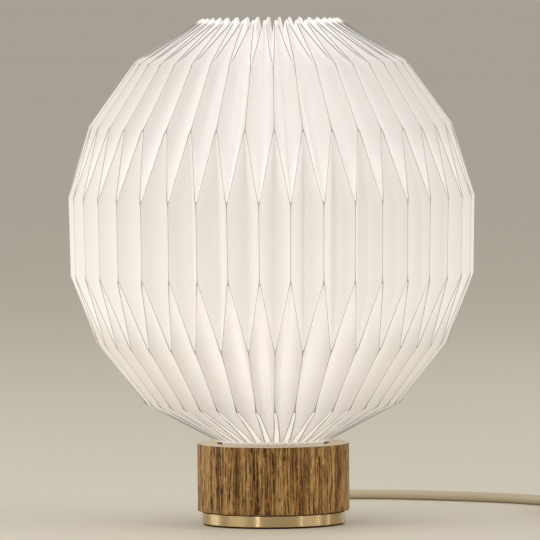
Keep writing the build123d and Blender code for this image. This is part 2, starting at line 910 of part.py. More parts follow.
def make_cord_coil():
    """The put-away turns as one unbroken tube; prints its least gap to itself."""
    places = [coil_place(coil_arc_turns * k) for k in range(round(coil_turns / coil_arc_turns) + 1)]
    lead_in = (coil_west, coil_start, coil_layers[0])
    lead_out = (coil_west, coil_end, coil_layers[1])
    edges = [Edge.make_line(lead_in, places[0][0])]
    for (start, heading), (end, final) in zip(places, places[1:]):
        edges += biarc(start, heading, end, final)
    edges.append(Edge.make_line(places[-1][0], lead_out))
    samples = [coil_place(k / coil_samples)[0] for k in range(coil_turns * coil_samples + 1)]
    apart = min((a - b).length for i, a in enumerate(samples) for b in samples[i + coil_samples // 2:])
    print("coil least gap to itself", round(apart - cord_diameter, 2), "mm")
    return tube_along(Wire(edges), cord_radius)


def tie_loop(inner, outer):
    """A flat band round the bundle of turns, between two radii, standing at the coil's east side."""
    half = tie_width / 2
    low = math.sqrt((inner - cord_radius)**2 - half**2) - tie_clearance
    high = outer + cord_radius + tie_clearance
    top = coil_layers[1] + cord_radius + tie_clearance
    width = high - low + 2 * tie_thickness
    height = top + tie_thickness
    middle = (low + high) / 2
    outline = RectangleRounded(width, height, cord_radius)
    window = RectangleRounded(high - low, top - tie_thickness, cord_radius - tie_thickness)
    band = extrude(outline - window, tie_width / 2, both=True)
    return Pos(middle, 0, height / 2) * Rot(90, 0, 0) * band


def make_cord_ties():
    """One tie where all turns lie in line, east, and one at the west where both ends come out."""
    east_inner = coil_start_radius - coil_pitch * (coil_turns / 2 - 0.5)
    east_outer = coil_start_radius - coil_pitch * 0.5
    west_inner = coil_start_radius - coil_pitch * coil_turns / 2
    east = tie_loop(east_inner, east_outer)
    west = Rot(0, 0, 180) * tie_loop(west_inner, coil_start_radius)
    return Compound(children=[Pos(*coil_centre, 0) * piece for piece in (east, west)])


# In-line switch, modelled along +X and then turned to its heading

switch_place = Pos(*switch_centre, 0) * Rot(0, 0, switch_heading)
switch_height = 2 * switch_half_height
rocker_axis_height = switch_height - rocker_proud


def switch_half(low, high, open_side):
    """One housing half: a rounded box with a hollow, open towards the other half."""
    outline = RectangleRounded(switch_length, switch_width, switch_corner)
    hollow = RectangleRounded(switch_length - 2 * switch_wall, switch_width - 2 * switch_wall,
                              switch_corner - switch_wall)
    half = Pos(0, 0, low) * extrude(outline, high - low)
    far_face = half.faces().sort_by(Axis.Z)[0 if open_side > 0 else -1]
    half = fillet(far_face.edges(), switch_edge)
    bottom = low + switch_wall if open_side > 0 else low
    half -= Pos(0, 0, bottom) * extrude(hollow, high - low - switch_wall)
    port = Rot(0, 90, 0) * Cylinder(cord_radius + thread_clearance, 2 * switch_length)
    return half - Pos(0, 0, switch_half_height) * port


def make_switch_lower():
    half = switch_half(0, switch_half_height - part_clearance / 2, 1)
    for side in (-1, 1):
        place = Pos(side * switch_screw_offset, switch_width / 4, 0)
        half += place * disc(switch_post_radius, switch_wall / 2, switch_half_height - part_clearance / 2)
        half -= place * disc(switch_screw_radius + thread_clearance, 0, switch_height)
        half -= place * disc(switch_screw_head_radius + part_clearance, 0, switch_wall)
    half += block(switch_contact_offset, switch_width / 3, switch_wall / 2,
                  switch_half_height - rocker_clearance * 2)
    return switch_place * half


def make_switch_upper():
    half = switch_half(switch_half_height + part_clearance / 2, switch_height, -1)
    window = block(rocker_length + 2 * rocker_clearance, rocker_width + 2 * rocker_clearance,
                   switch_half_height, switch_height)
    half -= window
    for side in (-1, 1):
        place = Pos(side * switch_screw_offset, switch_width / 4, 0)
        half += place * disc(switch_post_radius, switch_half_height + part_clearance / 2,
                             switch_height - switch_wall / 2)
        half -= place * disc(switch_screw_radius + thread_clearance, 0, switch_height - switch_wall)
        ear_width = 2 * rocker_pin_radius + 2 * switch_wall
        ear = Box(ear_width, switch_wall, rocker_proud + 2 * switch_wall)
        ear_gap = (rocker_width + switch_wall) / 2 + rocker_clearance
        half += Pos(0, side * ear_gap, rocker_axis_height - switch_wall / 2) * ear
    pin_hole = Rot(90, 0, 0) * Cylinder(rocker_pin_radius + thread_clearance, rocker_width + 4 * switch_wall)
    return switch_place * (half - Pos(0, 0, rocker_axis_height) * pin_hole)


def make_switch_rocker():
    """A rocker with a shallow V on top, tilted about its pin to the off position."""
    half = rocker_length / 2
    foot = rocker_proud - rocker_height
    high = rocker_proud + rocker_dish
    outline = Polyline(
        (-half, -rocker_shoulder), (-half / 2, foot), (half / 2, foot), (half, -rocker_shoulder),
        (half, high), (0, rocker_proud - rocker_dish), (-half, high), close=True)
    rocker = extrude(Plane.XZ * make_face(outline), rocker_width / 2, both=True)
    top_edges = rocker.edges().filter_by(Axis.Y).sort_by(Axis.Z)[-2:]
    rocker = fillet(top_edges, rocker_edge)
    rocker -= Rot(90, 0, 0) * Cylinder(rocker_pin_radius + thread_clearance, rocker_width)
    return switch_place * Pos(0, 0, rocker_axis_height) * Rot(0, rocker_tilt, 0) * rocker


def make_switch_rocker_pin():
    pin = Rot(90, 0, 0) * Cylinder(rocker_pin_radius, rocker_width + 3 * switch_wall)
    return switch_place * Pos(0, 0, rocker_axis_height) * pin


def make_switch_screws():
    screw = disc(switch_screw_radius, part_clearance, switch_height - switch_wall - part_clearance)
    screw += disc(switch_screw_head_radius, part_clearance, switch_wall)
    return Compound(children=[switch_place * Pos(side * switch_screw_offset, switch_width / 4, 0) * screw
                              for side in (-1, 1)])


def make_switch_contacts():
    """Two brass tabs on the lower housing, at each side of the rocker's foot."""
    tab = block(switch_wall, switch_width / 4, switch_wall, switch_half_height - rocker_clearance * 4)
    gap = switch_contact_offset / 2 + switch_wall / 2 + part_clearance
    return Compound(children=[switch_place * Pos(side * gap, 0, 0) * tab for side in (-1, 1)])


# Mains plug, lying flat with its pins along -Y

plug_face = plug_entry[1] - plug_sleeve_length - plug_body_length


def plug_frame(piece):
    """Place a piece that is modelled from the cord's entry along +Z so that it points along -Y."""
    return Pos(*plug_entry) * Rot(90, 0, 0) * piece


def make_plug_body():
    """A six-sided flat body that narrows to the tapered sleeve at the cord."""
    shoulder = plug_sleeve_length
    end = plug_sleeve_length + plug_body_length
    outline = Polyline(
        (-plug_neck_width / 2, shoulder), (plug_neck_width / 2, shoulder),
        (plug_width / 2, shoulder + plug_body_length / 2), (plug_width / 2, end),
        (-plug_width / 2, end), (-plug_width / 2, shoulder + plug_body_length / 2), close=True)
    body = extrude(Plane.XZ * make_face(outline), plug_thickness / 2, both=True)
    body = fillet(body.edges().filter_by(Axis.Y), plug_edge)
    body = chamfer(body.faces().filter_by(Axis.Y).edges(), plug_edge / 4)
    sleeve = turned([
        (0, part_clearance / 2),
        (plug_sleeve_tip, part_clearance / 2),
        (plug_sleeve_root, shoulder + part_clearance),
        (0, shoulder + part_clearance),
    ])
    body += sleeve
    hole = disc(plug_root_radius + thread_clearance, end - plug_pin_bury, end)
    for side in (-1, 1):
        body -= Pos(side * plug_pin_spacing / 2, 0, 0) * hole
    return plug_frame(body)


def make_plug_pins():
    """Two round pins, each with a thinner root moulded into the body."""
    end = plug_sleeve_length + plug_body_length
    pin = disc(plug_pin_radius, end, end + plug_pin_length)
    pin = fillet(pin.edges().sort_by(Axis.Z)[-1], plug_pin_radius / 2)
    pin += disc(plug_root_radius, end - plug_pin_bury, end)
    return Compound(children=[plug_frame(Pos(side * plug_pin_spacing / 2, 0, 0) * pin) for side in (-1, 1)])


pieces = {
    "pleated_shade": make_pleated_shade(),
    "rim_thread": make_rim_thread(),
    "shade_collar": make_shade_collar(),
    "foot_pad": make_foot_pad(),
    "brass_base_plate": make_brass_plate(),
    "plate_screws": make_plate_screws(),
    "oak_base_ring": make_oak_ring(),
    "threaded_tube": make_threaded_tube(),
    "lower_lock_nut": hex_nut(web_bottom - washer_thickness - nut_thickness),
    "lower_washer": make_washer(web_bottom - washer_thickness),
    "upper_washer": make_washer(recess_floor),
    "upper_lock_nut": hex_nut(recess_floor + washer_thickness),
    "holder_cap": make_holder_cap(),
    "holder_shell": make_holder_shell(),
    "terminal_block": make_terminal_block(),
    "holder_terminals": make_terminals(),
    "terminal_screws": make_terminal_screws(),
    "centre_contact": make_centre_contact(),
    "holder_screw_sleeve": make_screw_sleeve(),
    "bulb_end_contact": make_bulb_end_contact(),
    "bulb_insulator": make_bulb_insulator(),
    "bulb_screw_cap": make_bulb_screw_cap(),
    "bulb_glass": make_bulb_glass(),
    "bulb_stem": make_bulb_stem(),
    "bulb_filaments": make_bulb_filaments(),
    "cord_bush": make_cord_bush(),
    "cord_inner_end": make_cord_inner_end(),
    "clamp_base": clamp_bar(oak_bottom, clamp_split),
    "clamp_saddle": clamp_bar(clamp_split + clamp_gap, saddle_top),
    "clamp_screws": make_clamp_screws(),
    "lead_live": make_core(-1),
    "lead_neutral": make_core(1),
    "cord_lead": cord_stretch(lead_route),
    "cord_middle": cord_stretch(middle_route),
    "cord_coil": make_cord_coil(),
    "cord_tail": cord_stretch(tail_route),
    "cord_ties": make_cord_ties(),
    "switch_lower_housing": make_switch_lower(),
    "switch_upper_housing": make_switch_upper(),
    "switch_rocker": make_switch_rocker(),
    "switch_rocker_pin": make_switch_rocker_pin(),
    "switch_screws": make_switch_screws(),
    "switch_contacts": make_switch_contacts(),
    "plug_body": make_plug_body(),
    "plug_pins": make_plug_pins(),
}

os.makedirs("parts", exist_ok=True)
for name, piece in pieces.items():
    export_step(piece, f"parts/{name}.step")
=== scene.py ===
"""Looks of the pleated table lamp: the finish of every piece, the cord and a plain studio.

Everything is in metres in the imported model's own frame: +Z up, the table top is z = 0, the lamp's
axis is x = y = 0 and the cord leaves the base towards +Y. The camera looks along +Y.
"""

import json
import logging
import math
from dataclasses import dataclass, field
from enum import Enum, IntEnum

import bmesh
import bpy
import numpy as np
from mathutils import Matrix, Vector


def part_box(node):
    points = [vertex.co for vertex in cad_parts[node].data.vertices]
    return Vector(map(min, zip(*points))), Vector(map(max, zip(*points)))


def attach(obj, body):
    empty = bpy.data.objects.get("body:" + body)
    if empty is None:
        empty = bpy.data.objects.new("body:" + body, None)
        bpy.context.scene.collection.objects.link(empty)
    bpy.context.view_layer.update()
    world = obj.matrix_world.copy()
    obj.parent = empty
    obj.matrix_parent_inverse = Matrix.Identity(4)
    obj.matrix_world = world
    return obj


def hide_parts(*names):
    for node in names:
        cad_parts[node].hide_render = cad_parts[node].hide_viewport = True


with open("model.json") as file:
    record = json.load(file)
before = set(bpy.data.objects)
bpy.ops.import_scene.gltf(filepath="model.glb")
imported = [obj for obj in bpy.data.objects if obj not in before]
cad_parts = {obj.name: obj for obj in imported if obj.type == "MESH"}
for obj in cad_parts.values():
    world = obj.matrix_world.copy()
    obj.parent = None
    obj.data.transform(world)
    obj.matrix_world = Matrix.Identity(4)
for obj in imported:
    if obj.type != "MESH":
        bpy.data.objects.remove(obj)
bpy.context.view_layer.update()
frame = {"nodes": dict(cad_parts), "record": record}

log = logging.getLogger("lamp")

Array = np.ndarray
Pair = tuple[float, float]
Colour = tuple[float, float, float]
Place = tuple[float, float, float]
MM = 0.001
BLACK = (0.0, 0.0, 0.0)
MERGE_DISTANCE = 0.001 * MM


def colour(code: str, share: float = 1.0) -> Colour:
    """Turn a colour written as #RRGGBB into linear light.

    Args:
        code: six hexadecimal digits after a #, as a painter's swatch is written.
        share: how much of that light is kept, for a duller shade of the same colour.

    Returns:
        Red, green and blue from 0 to 1, each by the inverse of the display's standard curve.
    """
    parts = [int(code[i:i + 2], 16) / 255 for i in (1, 3, 5)]
    return tuple(share * (p / 12.92 if p <= 0.04045 else ((p + 0.055) / 1.055) ** 2.4) for p in parts)


@dataclass(frozen=True)
class Noise:
    """Soft noise from 0 to 1: cycles a metre, octaves, their strength, and a stretch along each axis."""

    scale: float
    detail: float = 2.0
    roughness: float = 0.5
    stretch: Place = (1.0, 1.0, 1.0)


class Socket:
    """A value in a material's node tree; arithmetic on it adds Math nodes.

    Args:
        graph: the node tree that new nodes go into.
        source: the output that carries the value.
    """

    def __init__(self, graph: "Graph", source: bpy.types.NodeSocket) -> None:
        """Keep the tree and the output."""
        self.graph = graph
        self.source = source

    def maths(self, operation: str, *values: "Socket | float") -> "Socket":
        """Add a Math node that works on this value and on others."""
        terms = dict(enumerate((self, *values)))
        return self.graph.node("ShaderNodeMath", {"operation": operation}, terms)

    def __add__(self, other: "Socket | float") -> "Socket":
        """This value plus another."""
        return self.maths("ADD", other)

    def __sub__(self, other: "Socket | float") -> "Socket":
        """This value less another."""
        return self.maths("SUBTRACT", other)

    def __mul__(self, other: "Socket | float") -> "Socket":
        """This value times another."""
        return self.maths("MULTIPLY", other)

    def __truediv__(self, other: "Socket | float") -> "Socket":
        """This value divided by another."""
        return self.maths("DIVIDE", other)

    def __rsub__(self, other: float) -> "Socket":
        """A number less this value."""
        return (self * -1.0) + other

    def __rtruediv__(self, other: float) -> "Socket":
        """A number divided by this value."""
        return self.maths("POWER", -1.0) * other

    __radd__ = __add__
    __rmul__ = __mul__

    def ramp(self, low: float, high: float) -> "Socket":
        """Rise smoothly from 0 to 1, or fall from 1 to 0 where high is under low.

        Args:
            low: the value at which the result is 0.
            high: the value at which the result is 1.

        Returns:
            The share from 0 to 1.
        """
        if low > high:
            return 1.0 - self.ramp(high, low)
        return self.graph.node("ShaderNodeMapRange", {"interpolation_type": "SMOOTHSTEP"},
                               {"Value": self, "From Min": low, "From Max": high})


class Graph:
    """The node tree of one material, with one method that adds any node.

    Args:
        name: the material's name.
    """

    def __init__(self, name: str) -> None:
        """Make an empty material."""
        self.material = bpy.data.materials.new(name)
        self.material.use_nodes = True
        self.tree = self.material.node_tree
        self.tree.nodes.clear()

    @staticmethod
    def usable(sockets: bpy.types.bpy_prop_collection, key: "int | str") -> bpy.types.NodeSocket:
        """Pick a socket by its name or number among those that the node's settings leave open."""
        ready = [s for s in sockets if s.enabled and not s.is_unavailable]
        return ready[key] if isinstance(key, int) else next(s for s in ready if s.name == key)

    def node(self, kind: str, settings: "dict | None" = None, inputs: "dict | None" = None,
             output: "int | str" = 0) -> Socket:
        """Add a node, set it up and connect it.

        Args:
            kind: the node's type, such as ShaderNodeTexNoise.
            settings: the node's own choices, set first; stops are a ramp's (position, colour) pairs.
            inputs: socket name or number to a value or another socket.
            output: which of the node's outputs to give back.

        Returns:
            The chosen output, ready for arithmetic.
        """
        made = self.tree.nodes.new(kind)
        for key, value in (settings or {}).items():
            if key != "stops":
                setattr(made, key, value)
                continue
            elements = made.color_ramp.elements
            for _ in range(len(value) - len(elements)):
                elements.new(1.0)
            for element, (position, shade) in zip(elements, value):
                element.position = position
                element.color = (*shade, 1.0)
        for key, value in (inputs or {}).items():
            socket = self.usable(made.inputs, key)
            if isinstance(value, Socket):
                self.tree.links.new(value.source, socket)
            elif socket.type == "RGBA":
                socket.default_value = (*value, 1.0)
            else:
                socket.default_value = value
        if not made.outputs:
            return Socket(self, None)
        return Socket(self, self.usable(made.outputs, output))

    def place(self, stretch: Place = (1.0, 1.0, 1.0)) -> Socket:
        """Object coordinates, stretched along each axis."""
        here = self.node("ShaderNodeTexCoord", output="Object")
        return self.node("ShaderNodeVectorMath", {"operation": "MULTIPLY"}, {0: here, 1: stretch})

    def axis(self, vector: Socket, name: str) -> Socket:
        """One part of a vector: X, Y or Z."""
        return self.node("ShaderNodeSeparateXYZ", {}, {0: vector}, name)

    def noise(self, noise: Noise) -> Socket:
        """Noise over the piece's own coordinates."""
        return self.node("ShaderNodeTexNoise", {}, {
            "Vector": self.place(noise.stretch), "Scale": noise.scale, "Detail": noise.detail,
            "Roughness": noise.roughness})

    def blend(self, share: "Socket | float", first: "Socket | Colour", second: "Socket | Colour") -> Socket:
        """Mix two colours by a share from 0 to 1."""
        return self.node("ShaderNodeMix", {"data_type": "RGBA"}, {"Factor": share, "A": first, "B": second})

    def bump(self, height: Socket, depth: float) -> Socket:
        """Turn a height from 0 to 1 into a normal; depth is in metres."""
        return self.node("ShaderNodeBump", {}, {"Height": height, "Distance": depth, "Strength": 1.0})

    def finish(self, **inputs: "Socket | float | Colour") -> bpy.types.Material:
        """End the tree in one Principled shader.

        Args:
            inputs: the shader's sockets by name, with _ for a space.

        Returns:
            The finished material.
        """
        named = {key.replace("_", " "): value for key, value in inputs.items()}
        shader = self.node("ShaderNodeBsdfPrincipled", {}, named)
        self.node("ShaderNodeOutputMaterial", {}, {"Surface": shader})
        return self.material


# Finishes


@dataclass(frozen=True)
class Foil:
    """Translucent satin foil, palest in the valleys and inside the rims, with a fine line on each fold.

    The darker tone beside the ridges and on the belly is painted shade, and the paler tone inside the
    rims and the glow, most below and in the petals at the neck, are painted light that stands in for the
    low bulb shining through the foil. The sheet's maps give millimetres to the folds, the share of the way
    from ridge to valley, and the depth: how far down the sheet a place lies, from 0 to 1 and a fifth for
    each panel. The offset is how far its depth lies from the middle of the belly. A pair is where a share
    is 0 and where it is 1.
    """

    name: str = "shade foil"
    sheet: str = "#F1EEEC"
    # The ridge, belly and rim tints below are painted shade and painted light; the line tint is partly
    # painted crease shade.
    painted_ridge_shade_and_mottle: str = "#DCD8D4"
    painted_belly_shade: str = "#E9E5E2"
    painted_rim_light: str = "#F4F2F0"
    fold_line_and_crease_shade: str = "#7B766E"
    roughness: float = 0.42
    specular: float = 0.35
    grain: Noise = Noise(900.0, 3.0)
    grain_depth: float = 0.03 * MM
    cloud: Noise = Noise(26.0)
    grain_share: float = 0.05
    cloud_share: float = 0.10
    grain_dulling: float = 0.1
    rim_offset: Pair = (0.297, 0.303)
    belly_offset: Pair = (0.103, 0.097)
    belly_shade_share: float = 0.8
    valley_reach: Pair = (0.0, 0.8)
    line_width: Pair = (0.62, 0.15)
    line_offset: Pair = (0.12, 0.3)
    line_strength: float = 0.65
    rim_line_strength: float = 0.3
    rim_line_widening: float = 0.6
    corner_reach: Pair = (0.84, 1.0)
    corner_thinning: float = 3.0
    outer_offset: Pair = (0.15, 0.25)
    outer_fading: float = 0.75
    # The glow fields set painted glow and the shadow fields painted shade: emission in place of the bulb's
    # light through the foil.
    glow: float = 0.46
    even_glow: float = 0.38
    low_depth: Pair = (0.35, 0.7)
    low_glow: float = 0.235
    high_depth: Pair = (0.45, 0.25)
    high_glow: float = 0.06
    neck_depth: Pair = (0.68, 0.8)
    neck_shadow: float = 0.16
    petal_glow: float = 0.36
    line_shadow: float = 0.5

    def lines(self, ridge: Socket, crossing: Socket, valley: Socket, rim: Socket, offset: Socket) -> Socket:
        """The fine lines on the folds, partly the folds' own marks and partly painted crease shade.

        The folds at the crown and the tuck carry painted shade on their inner side, where the sheet turns
        in, and it is thinner beside the corner where two of them meet.

        Args:
            ridge: millimetres to the upright ridge.
            crossing: millimetres to the nearer fold that crosses the sheet.
            valley: 1 in the valley to 0 on the ridge.
            rim: 1 on the two rim panels, else 0.
            offset: the depth's distance from the middle of the belly.

        Returns:
            1 on a line to 0 off it.
        """
        corner = rim * valley.ramp(*self.corner_reach) * self.corner_thinning
        reach = crossing * (corner + 1.0) / ((rim * self.rim_line_widening) + 1.0)
        outside = (1.0 - rim) * offset.ramp(*self.outer_offset) * self.outer_fading
        crease = reach.ramp(*self.line_width) * (1.0 - outside)
        return ridge.ramp(*self.line_width).maths("MAXIMUM", crease)

    def shine(self, depth: Socket, rim: Socket, line: Socket) -> Socket:
        """How much painted glow the foil gets, in place of the bulb's light through it: more low down and in
        the petals, painted shade at the neck.

        Args:
            depth: how far down the sheet.
            rim: 1 on the two rim panels, else 0.
            line: 1 on a fold's line, where the painted glow is halved.

        Returns:
            A share from 0 to 1.
        """
        low = depth.ramp(*self.low_depth)
        high = depth.ramp(*self.high_depth)
        neck = (1.0 - rim) * depth.ramp(*self.neck_depth)
        share = (low * self.low_glow) + (high * self.high_glow) - (neck * self.neck_shadow)
        return (share + (rim * low * self.petal_glow) + self.even_glow) * (1.0 - (line * self.line_shadow))

    def material(self) -> bpy.types.Material:
        """Colour by the distance to the nearest fold, read from the sheet's own maps.

        Returns:
            The foil's material.
        """
        graph = Graph(self.name)
        fold = graph.node("ShaderNodeUVMap", {"uv_map": "fold"})
        lie = graph.node("ShaderNodeUVMap", {"uv_map": "lie"})
        valley, depth = graph.axis(lie, "X"), graph.axis(lie, "Y")
        grain, cloud = graph.noise(self.grain), graph.noise(self.cloud)
        offset = (depth - 0.5).maths("ABSOLUTE")
        rim = offset.ramp(*self.rim_offset)
        line = self.lines(graph.axis(fold, "X"), graph.axis(fold, "Y"), valley, rim, offset)
        strength = (offset.ramp(*self.line_offset) * self.rim_line_strength) + self.line_strength
        # Painted shade beside the ridges, fading to the plain sheet in the valleys.
        upright = graph.blend(valley.ramp(*self.valley_reach), colour(self.painted_ridge_shade_and_mottle), colour(self.sheet))
        # Painted shade on the belly panel.
        belly = offset.ramp(*self.belly_offset) * self.belly_shade_share
        body = graph.blend(belly, upright, colour(self.painted_belly_shade))
        # Painted light on the two rim panels, which stand nearer the bulb.
        with_painted_rim_light = graph.blend(rim, body, colour(self.painted_rim_light))
        uneven = (cloud * self.cloud_share) + (grain * self.grain_share)
        toned = graph.blend(uneven, with_painted_rim_light, colour(self.painted_ridge_shade_and_mottle))
        # Fold lines: partly the folds' own marks, partly painted crease shade.
        shown = graph.blend(line * strength, toned, colour(self.fold_line_and_crease_shade))
        # Painted glow: emission of the foil's colour in place of the bulb's light shining through it.
        painted_glow = graph.blend(self.shine(depth, rim, line), BLACK, shown)
        return graph.finish(Base_Color=shown, Roughness=(grain * self.grain_dulling) + self.roughness,
                            Emission_Color=painted_glow, Emission_Strength=self.glow,
                            Specular_IOR_Level=self.specular, Normal=graph.bump(grain, self.grain_depth))


@dataclass(frozen=True)
class Oak:
    """Oiled open-pored oak turned with its grain upright: dark pores, soft bands, and a pale top face whose
    end-grain rings lie on painted light from above.

    The tone is a sum of three layers of noise, each with the pair of values where it is dark and light
    and its share of the whole, and the stops are the tones of the dark, middle and light colours.
    """

    name: str = "oak"
    light: str = "#BE985F"
    mid: str = "#906834"
    dark: str = "#472A10"
    pore_tint: str = "#2E1B0B"
    # The pale top tint is painted light from above; the rings over it are the end grain.
    painted_top_light_on_end_grain: str = "#E4D8BC"
    stops: Place = (0.12, 0.48, 0.88)
    bands: Noise = Noise(95.0, 2.0, 0.5, (1.0, 1.0, 0.10))
    band_turn: Pair = (0.3, 0.7)
    band_share: float = 0.25
    streaks: Noise = Noise(740.0, 4.0, 0.75, (1.0, 1.0, 0.025))
    streak_turn: Pair = (0.38, 0.62)
    streak_share: float = 0.45
    fine: Noise = Noise(1250.0, 3.0, 0.75, (1.0, 1.0, 0.15))
    fine_turn: Pair = (0.36, 0.64)
    fine_share: float = 0.3
    pores: Noise = Noise(960.0, 3.0, 0.7, (1.0, 1.0, 0.04))
    pore_turn: Pair = (0.525, 0.565)
    pore_length: Noise = Noise(330.0, 3.0, 0.7, (1.0, 1.0, 0.35))
    pore_length_turn: Pair = (0.42, 0.5)
    pore_strength: float = 0.9
    rings: Noise = Noise(700.0, 3.0, 0.5, (1.0, 0.12, 1.0))
    ring_strength: float = 0.3
    end_grain_and_top_light_slope: Pair = (0.75, 0.95)
    roughness: float = 0.5
    dulling: float = 0.2
    specular: float = 0.2
    streak_height: float = 0.4
    fine_height: float = 0.2
    pore_height: float = 1.2
    relief: float = 0.12 * MM

    def material(self) -> bpy.types.Material:
        """Bands across the board, streaks and pores along it, and where the face looks up, end-grain rings
        on a pale tint that is painted light from above.

        Returns:
            The oak's material.
        """
        graph = Graph(self.name)
        streaks, fine = graph.noise(self.streaks), graph.noise(self.fine)
        length = graph.noise(self.pore_length).ramp(*self.pore_length_turn)
        pore = graph.noise(self.pores).ramp(*self.pore_turn) * length
        tone = graph.noise(self.bands).ramp(*self.band_turn) * self.band_share
        tone = tone + (streaks.ramp(*self.streak_turn) * self.streak_share)
        tone = tone + (fine.ramp(*self.fine_turn) * self.fine_share)
        tints = (colour(self.dark), colour(self.mid), colour(self.light))
        grain = graph.node("ShaderNodeValToRGB", {"stops": list(zip(self.stops, tints))}, {0: tone})
        side = graph.blend(pore * self.pore_strength, grain, colour(self.pore_tint))
        rings = graph.noise(self.rings) * self.ring_strength
        # Painted light on the upward faces, with the end grain's rings over it.
        end = graph.blend(rings, colour(self.painted_top_light_on_end_grain), colour(self.mid))
        up = graph.axis(graph.node("ShaderNodeNewGeometry", output="Normal"), "Z")
        shown = graph.blend(up.ramp(*self.end_grain_and_top_light_slope), side, end)
        height = (streaks * self.streak_height) + (fine * self.fine_height) - (pore * self.pore_height)
        return graph.finish(
            Base_Color=shown, Roughness=(fine * self.dulling) + self.roughness + (pore * self.dulling),
            Specular_IOR_Level=self.specular, Normal=graph.bump(height, self.relief))


class Lay(Enum):
    """Which way the fine tool marks of a metal run, as a stretch along each axis."""

    ROUND = (1.0, 1.0, 60.0)
    EVEN = (8.0, 8.0, 8.0)


@dataclass(frozen=True)
class Metal:
    """Turned, drawn or plated metal with fine tool marks and slightly uneven polish.

    Dull is how much rougher its cloudy places are, and brushed is how far its shine spreads round it.
    """

    name: str
    tint: str
    roughness: float = 0.3
    lay: Lay = Lay.ROUND
    marks: float = 0.02 * MM
    dull: float = 0.12
    brushed: float = 0.0
    brushed_turn: float = 0.25
    mark_scale: float = 60.0
    mark_detail: float = 3.0
    mark_roughness: float = 0.6
    cloud: Noise = Noise(90.0, 3.0)
    shade: float = 0.72
    cloud_share: float = 0.35
    mark_share: float = 0.2

    def material(self) -> bpy.types.Material:
        """Tool marks as stretched noise, with a soft cloud of duller metal over them.

        Returns:
            The metal's material.
        """
        graph = Graph(self.name)
        marks = graph.noise(Noise(self.mark_scale, self.mark_detail, self.mark_roughness, self.lay.value))
        cloud = graph.noise(self.cloud)
        shown = graph.blend((cloud * self.cloud_share) + (marks * self.mark_share), colour(self.tint),
                            colour(self.tint, self.shade))
        polish = (cloud * self.dull) + (marks * self.dull) + (self.roughness - self.dull)
        return graph.finish(Base_Color=shown, Metallic=1.0, Anisotropic=self.brushed,
                            Anisotropic_Rotation=self.brushed_turn, Roughness=polish,
                            Normal=graph.bump(marks, self.marks))


@dataclass(frozen=True)
class Moulded:
    """Moulded plastic or rubber: an even colour with a fine tooled grain and faint flow marks."""

    name: str
    tint: str
    roughness: float = 0.42
    grain: float = 0.03 * MM
    speckle: float = 0.06
    grain_scale: float = 2200.0
    # Strength of a painted glow: emission that stands in for light falling on the piece.
    glow: float = 0.0
    flow: Noise = Noise(60.0)
    flow_share: float = 0.25
    shade: float = 0.8
    dulling: float = 0.14
    specular: float = 0.35

    def material(self) -> bpy.types.Material:
        """A fine grain for the surface and a slow drift of the colour, with an optional painted glow:
        emission of that colour.

        Returns:
            The plastic's or the rubber's material.
        """
        graph = Graph(self.name)
        grain = graph.noise(Noise(self.grain_scale))
        flow = graph.noise(self.flow)
        shown = graph.blend((flow * self.flow_share) + (grain * self.speckle), colour(self.tint),
                            colour(self.tint, self.shade))
        return graph.finish(
            Base_Color=shown, Roughness=(grain * self.dulling) + (self.roughness - self.dulling / 2),
            Emission_Color=shown, Emission_Strength=self.glow, Specular_IOR_Level=self.specular,
            Normal=graph.bump(grain, self.grain))


@dataclass(frozen=True)
class Woven:
    """Woven or twisted yarn: small crossing ribs."""

    name: str
    tint: str
    shade: str
    pitch: float = 0.8 * MM
    fuzz: Noise = Noise(3000.0)
    fuzz_share: float = 0.3
    weave_share: float = 0.6
    roughness: float = 0.85
    relief: float = 0.2 * MM

    def material(self) -> bpy.types.Material:
        """Ribs as the product of two waves: (1 + sin(2 pi y / pitch) sin(2 pi (x + z) / pitch)) / 2.

        Returns:
            The yarn's material.
        """
        graph = Graph(self.name)
        cycles = 2 * math.pi / self.pitch
        here = graph.place()
        warp = (graph.axis(here, "Y") * cycles).maths("SINE")
        weft = ((graph.axis(here, "X") + graph.axis(here, "Z")) * cycles).maths("SINE")
        weave = (warp * weft * 0.5) + 0.5
        share = (weave * self.weave_share) + (graph.noise(self.fuzz) * self.fuzz_share)
        return graph.finish(Base_Color=graph.blend(share, colour(self.shade), colour(self.tint)),
                            Roughness=self.roughness, Normal=graph.bump(weave, self.relief))


@dataclass(frozen=True)
class OpalGlass:
    """Thin blown glass with a satin white coating inside."""

    name: str = "bulb glass"
    tint: str = "#F4F1EA"
    thin_tint: str = "#E4DFD2"
    thin_share: float = 0.3
    alpha: float = 0.72
    roughness: float = 0.18
    drift: float = 0.1
    cloud: Noise = Noise(70.0)
    coat: float = 0.6
    coat_roughness: float = 0.05

    def material(self) -> bpy.types.Material:
        """An even coating, a little thinner in soft clouds, under a glossy outside.

        Returns:
            The glass's material.
        """
        graph = Graph(self.name)
        cloud = graph.noise(self.cloud)
        shown = graph.blend(cloud * self.thin_share, colour(self.tint), colour(self.thin_tint))
        return graph.finish(Base_Color=shown, Roughness=(cloud * self.drift) + self.roughness,
                            Alpha=(cloud * self.drift) + self.alpha, Coat_Weight=self.coat,
                            Coat_Roughness=self.coat_roughness)


@dataclass(frozen=True)
class PaleFloor:
    """The plain studio floor: matt and pale, with a barely seen unevenness."""

    name: str = "studio floor"
    tint: str = "#D5CEBE"
    shade: float = 0.96
    drift: Noise = Noise(1.5)
    roughness: float = 0.6
    specular: float = 0.3

    def material(self) -> bpy.types.Material:
        """One tone with a slow drift.

        Returns:
            The floor's material.
        """
        graph = Graph(self.name)
        shown = graph.blend(graph.noise(self.drift), colour(self.tint), colour(self.tint, self.shade))
        return graph.finish(Base_Color=shown, Roughness=self.roughness, Specular_IOR_Level=self.specular)


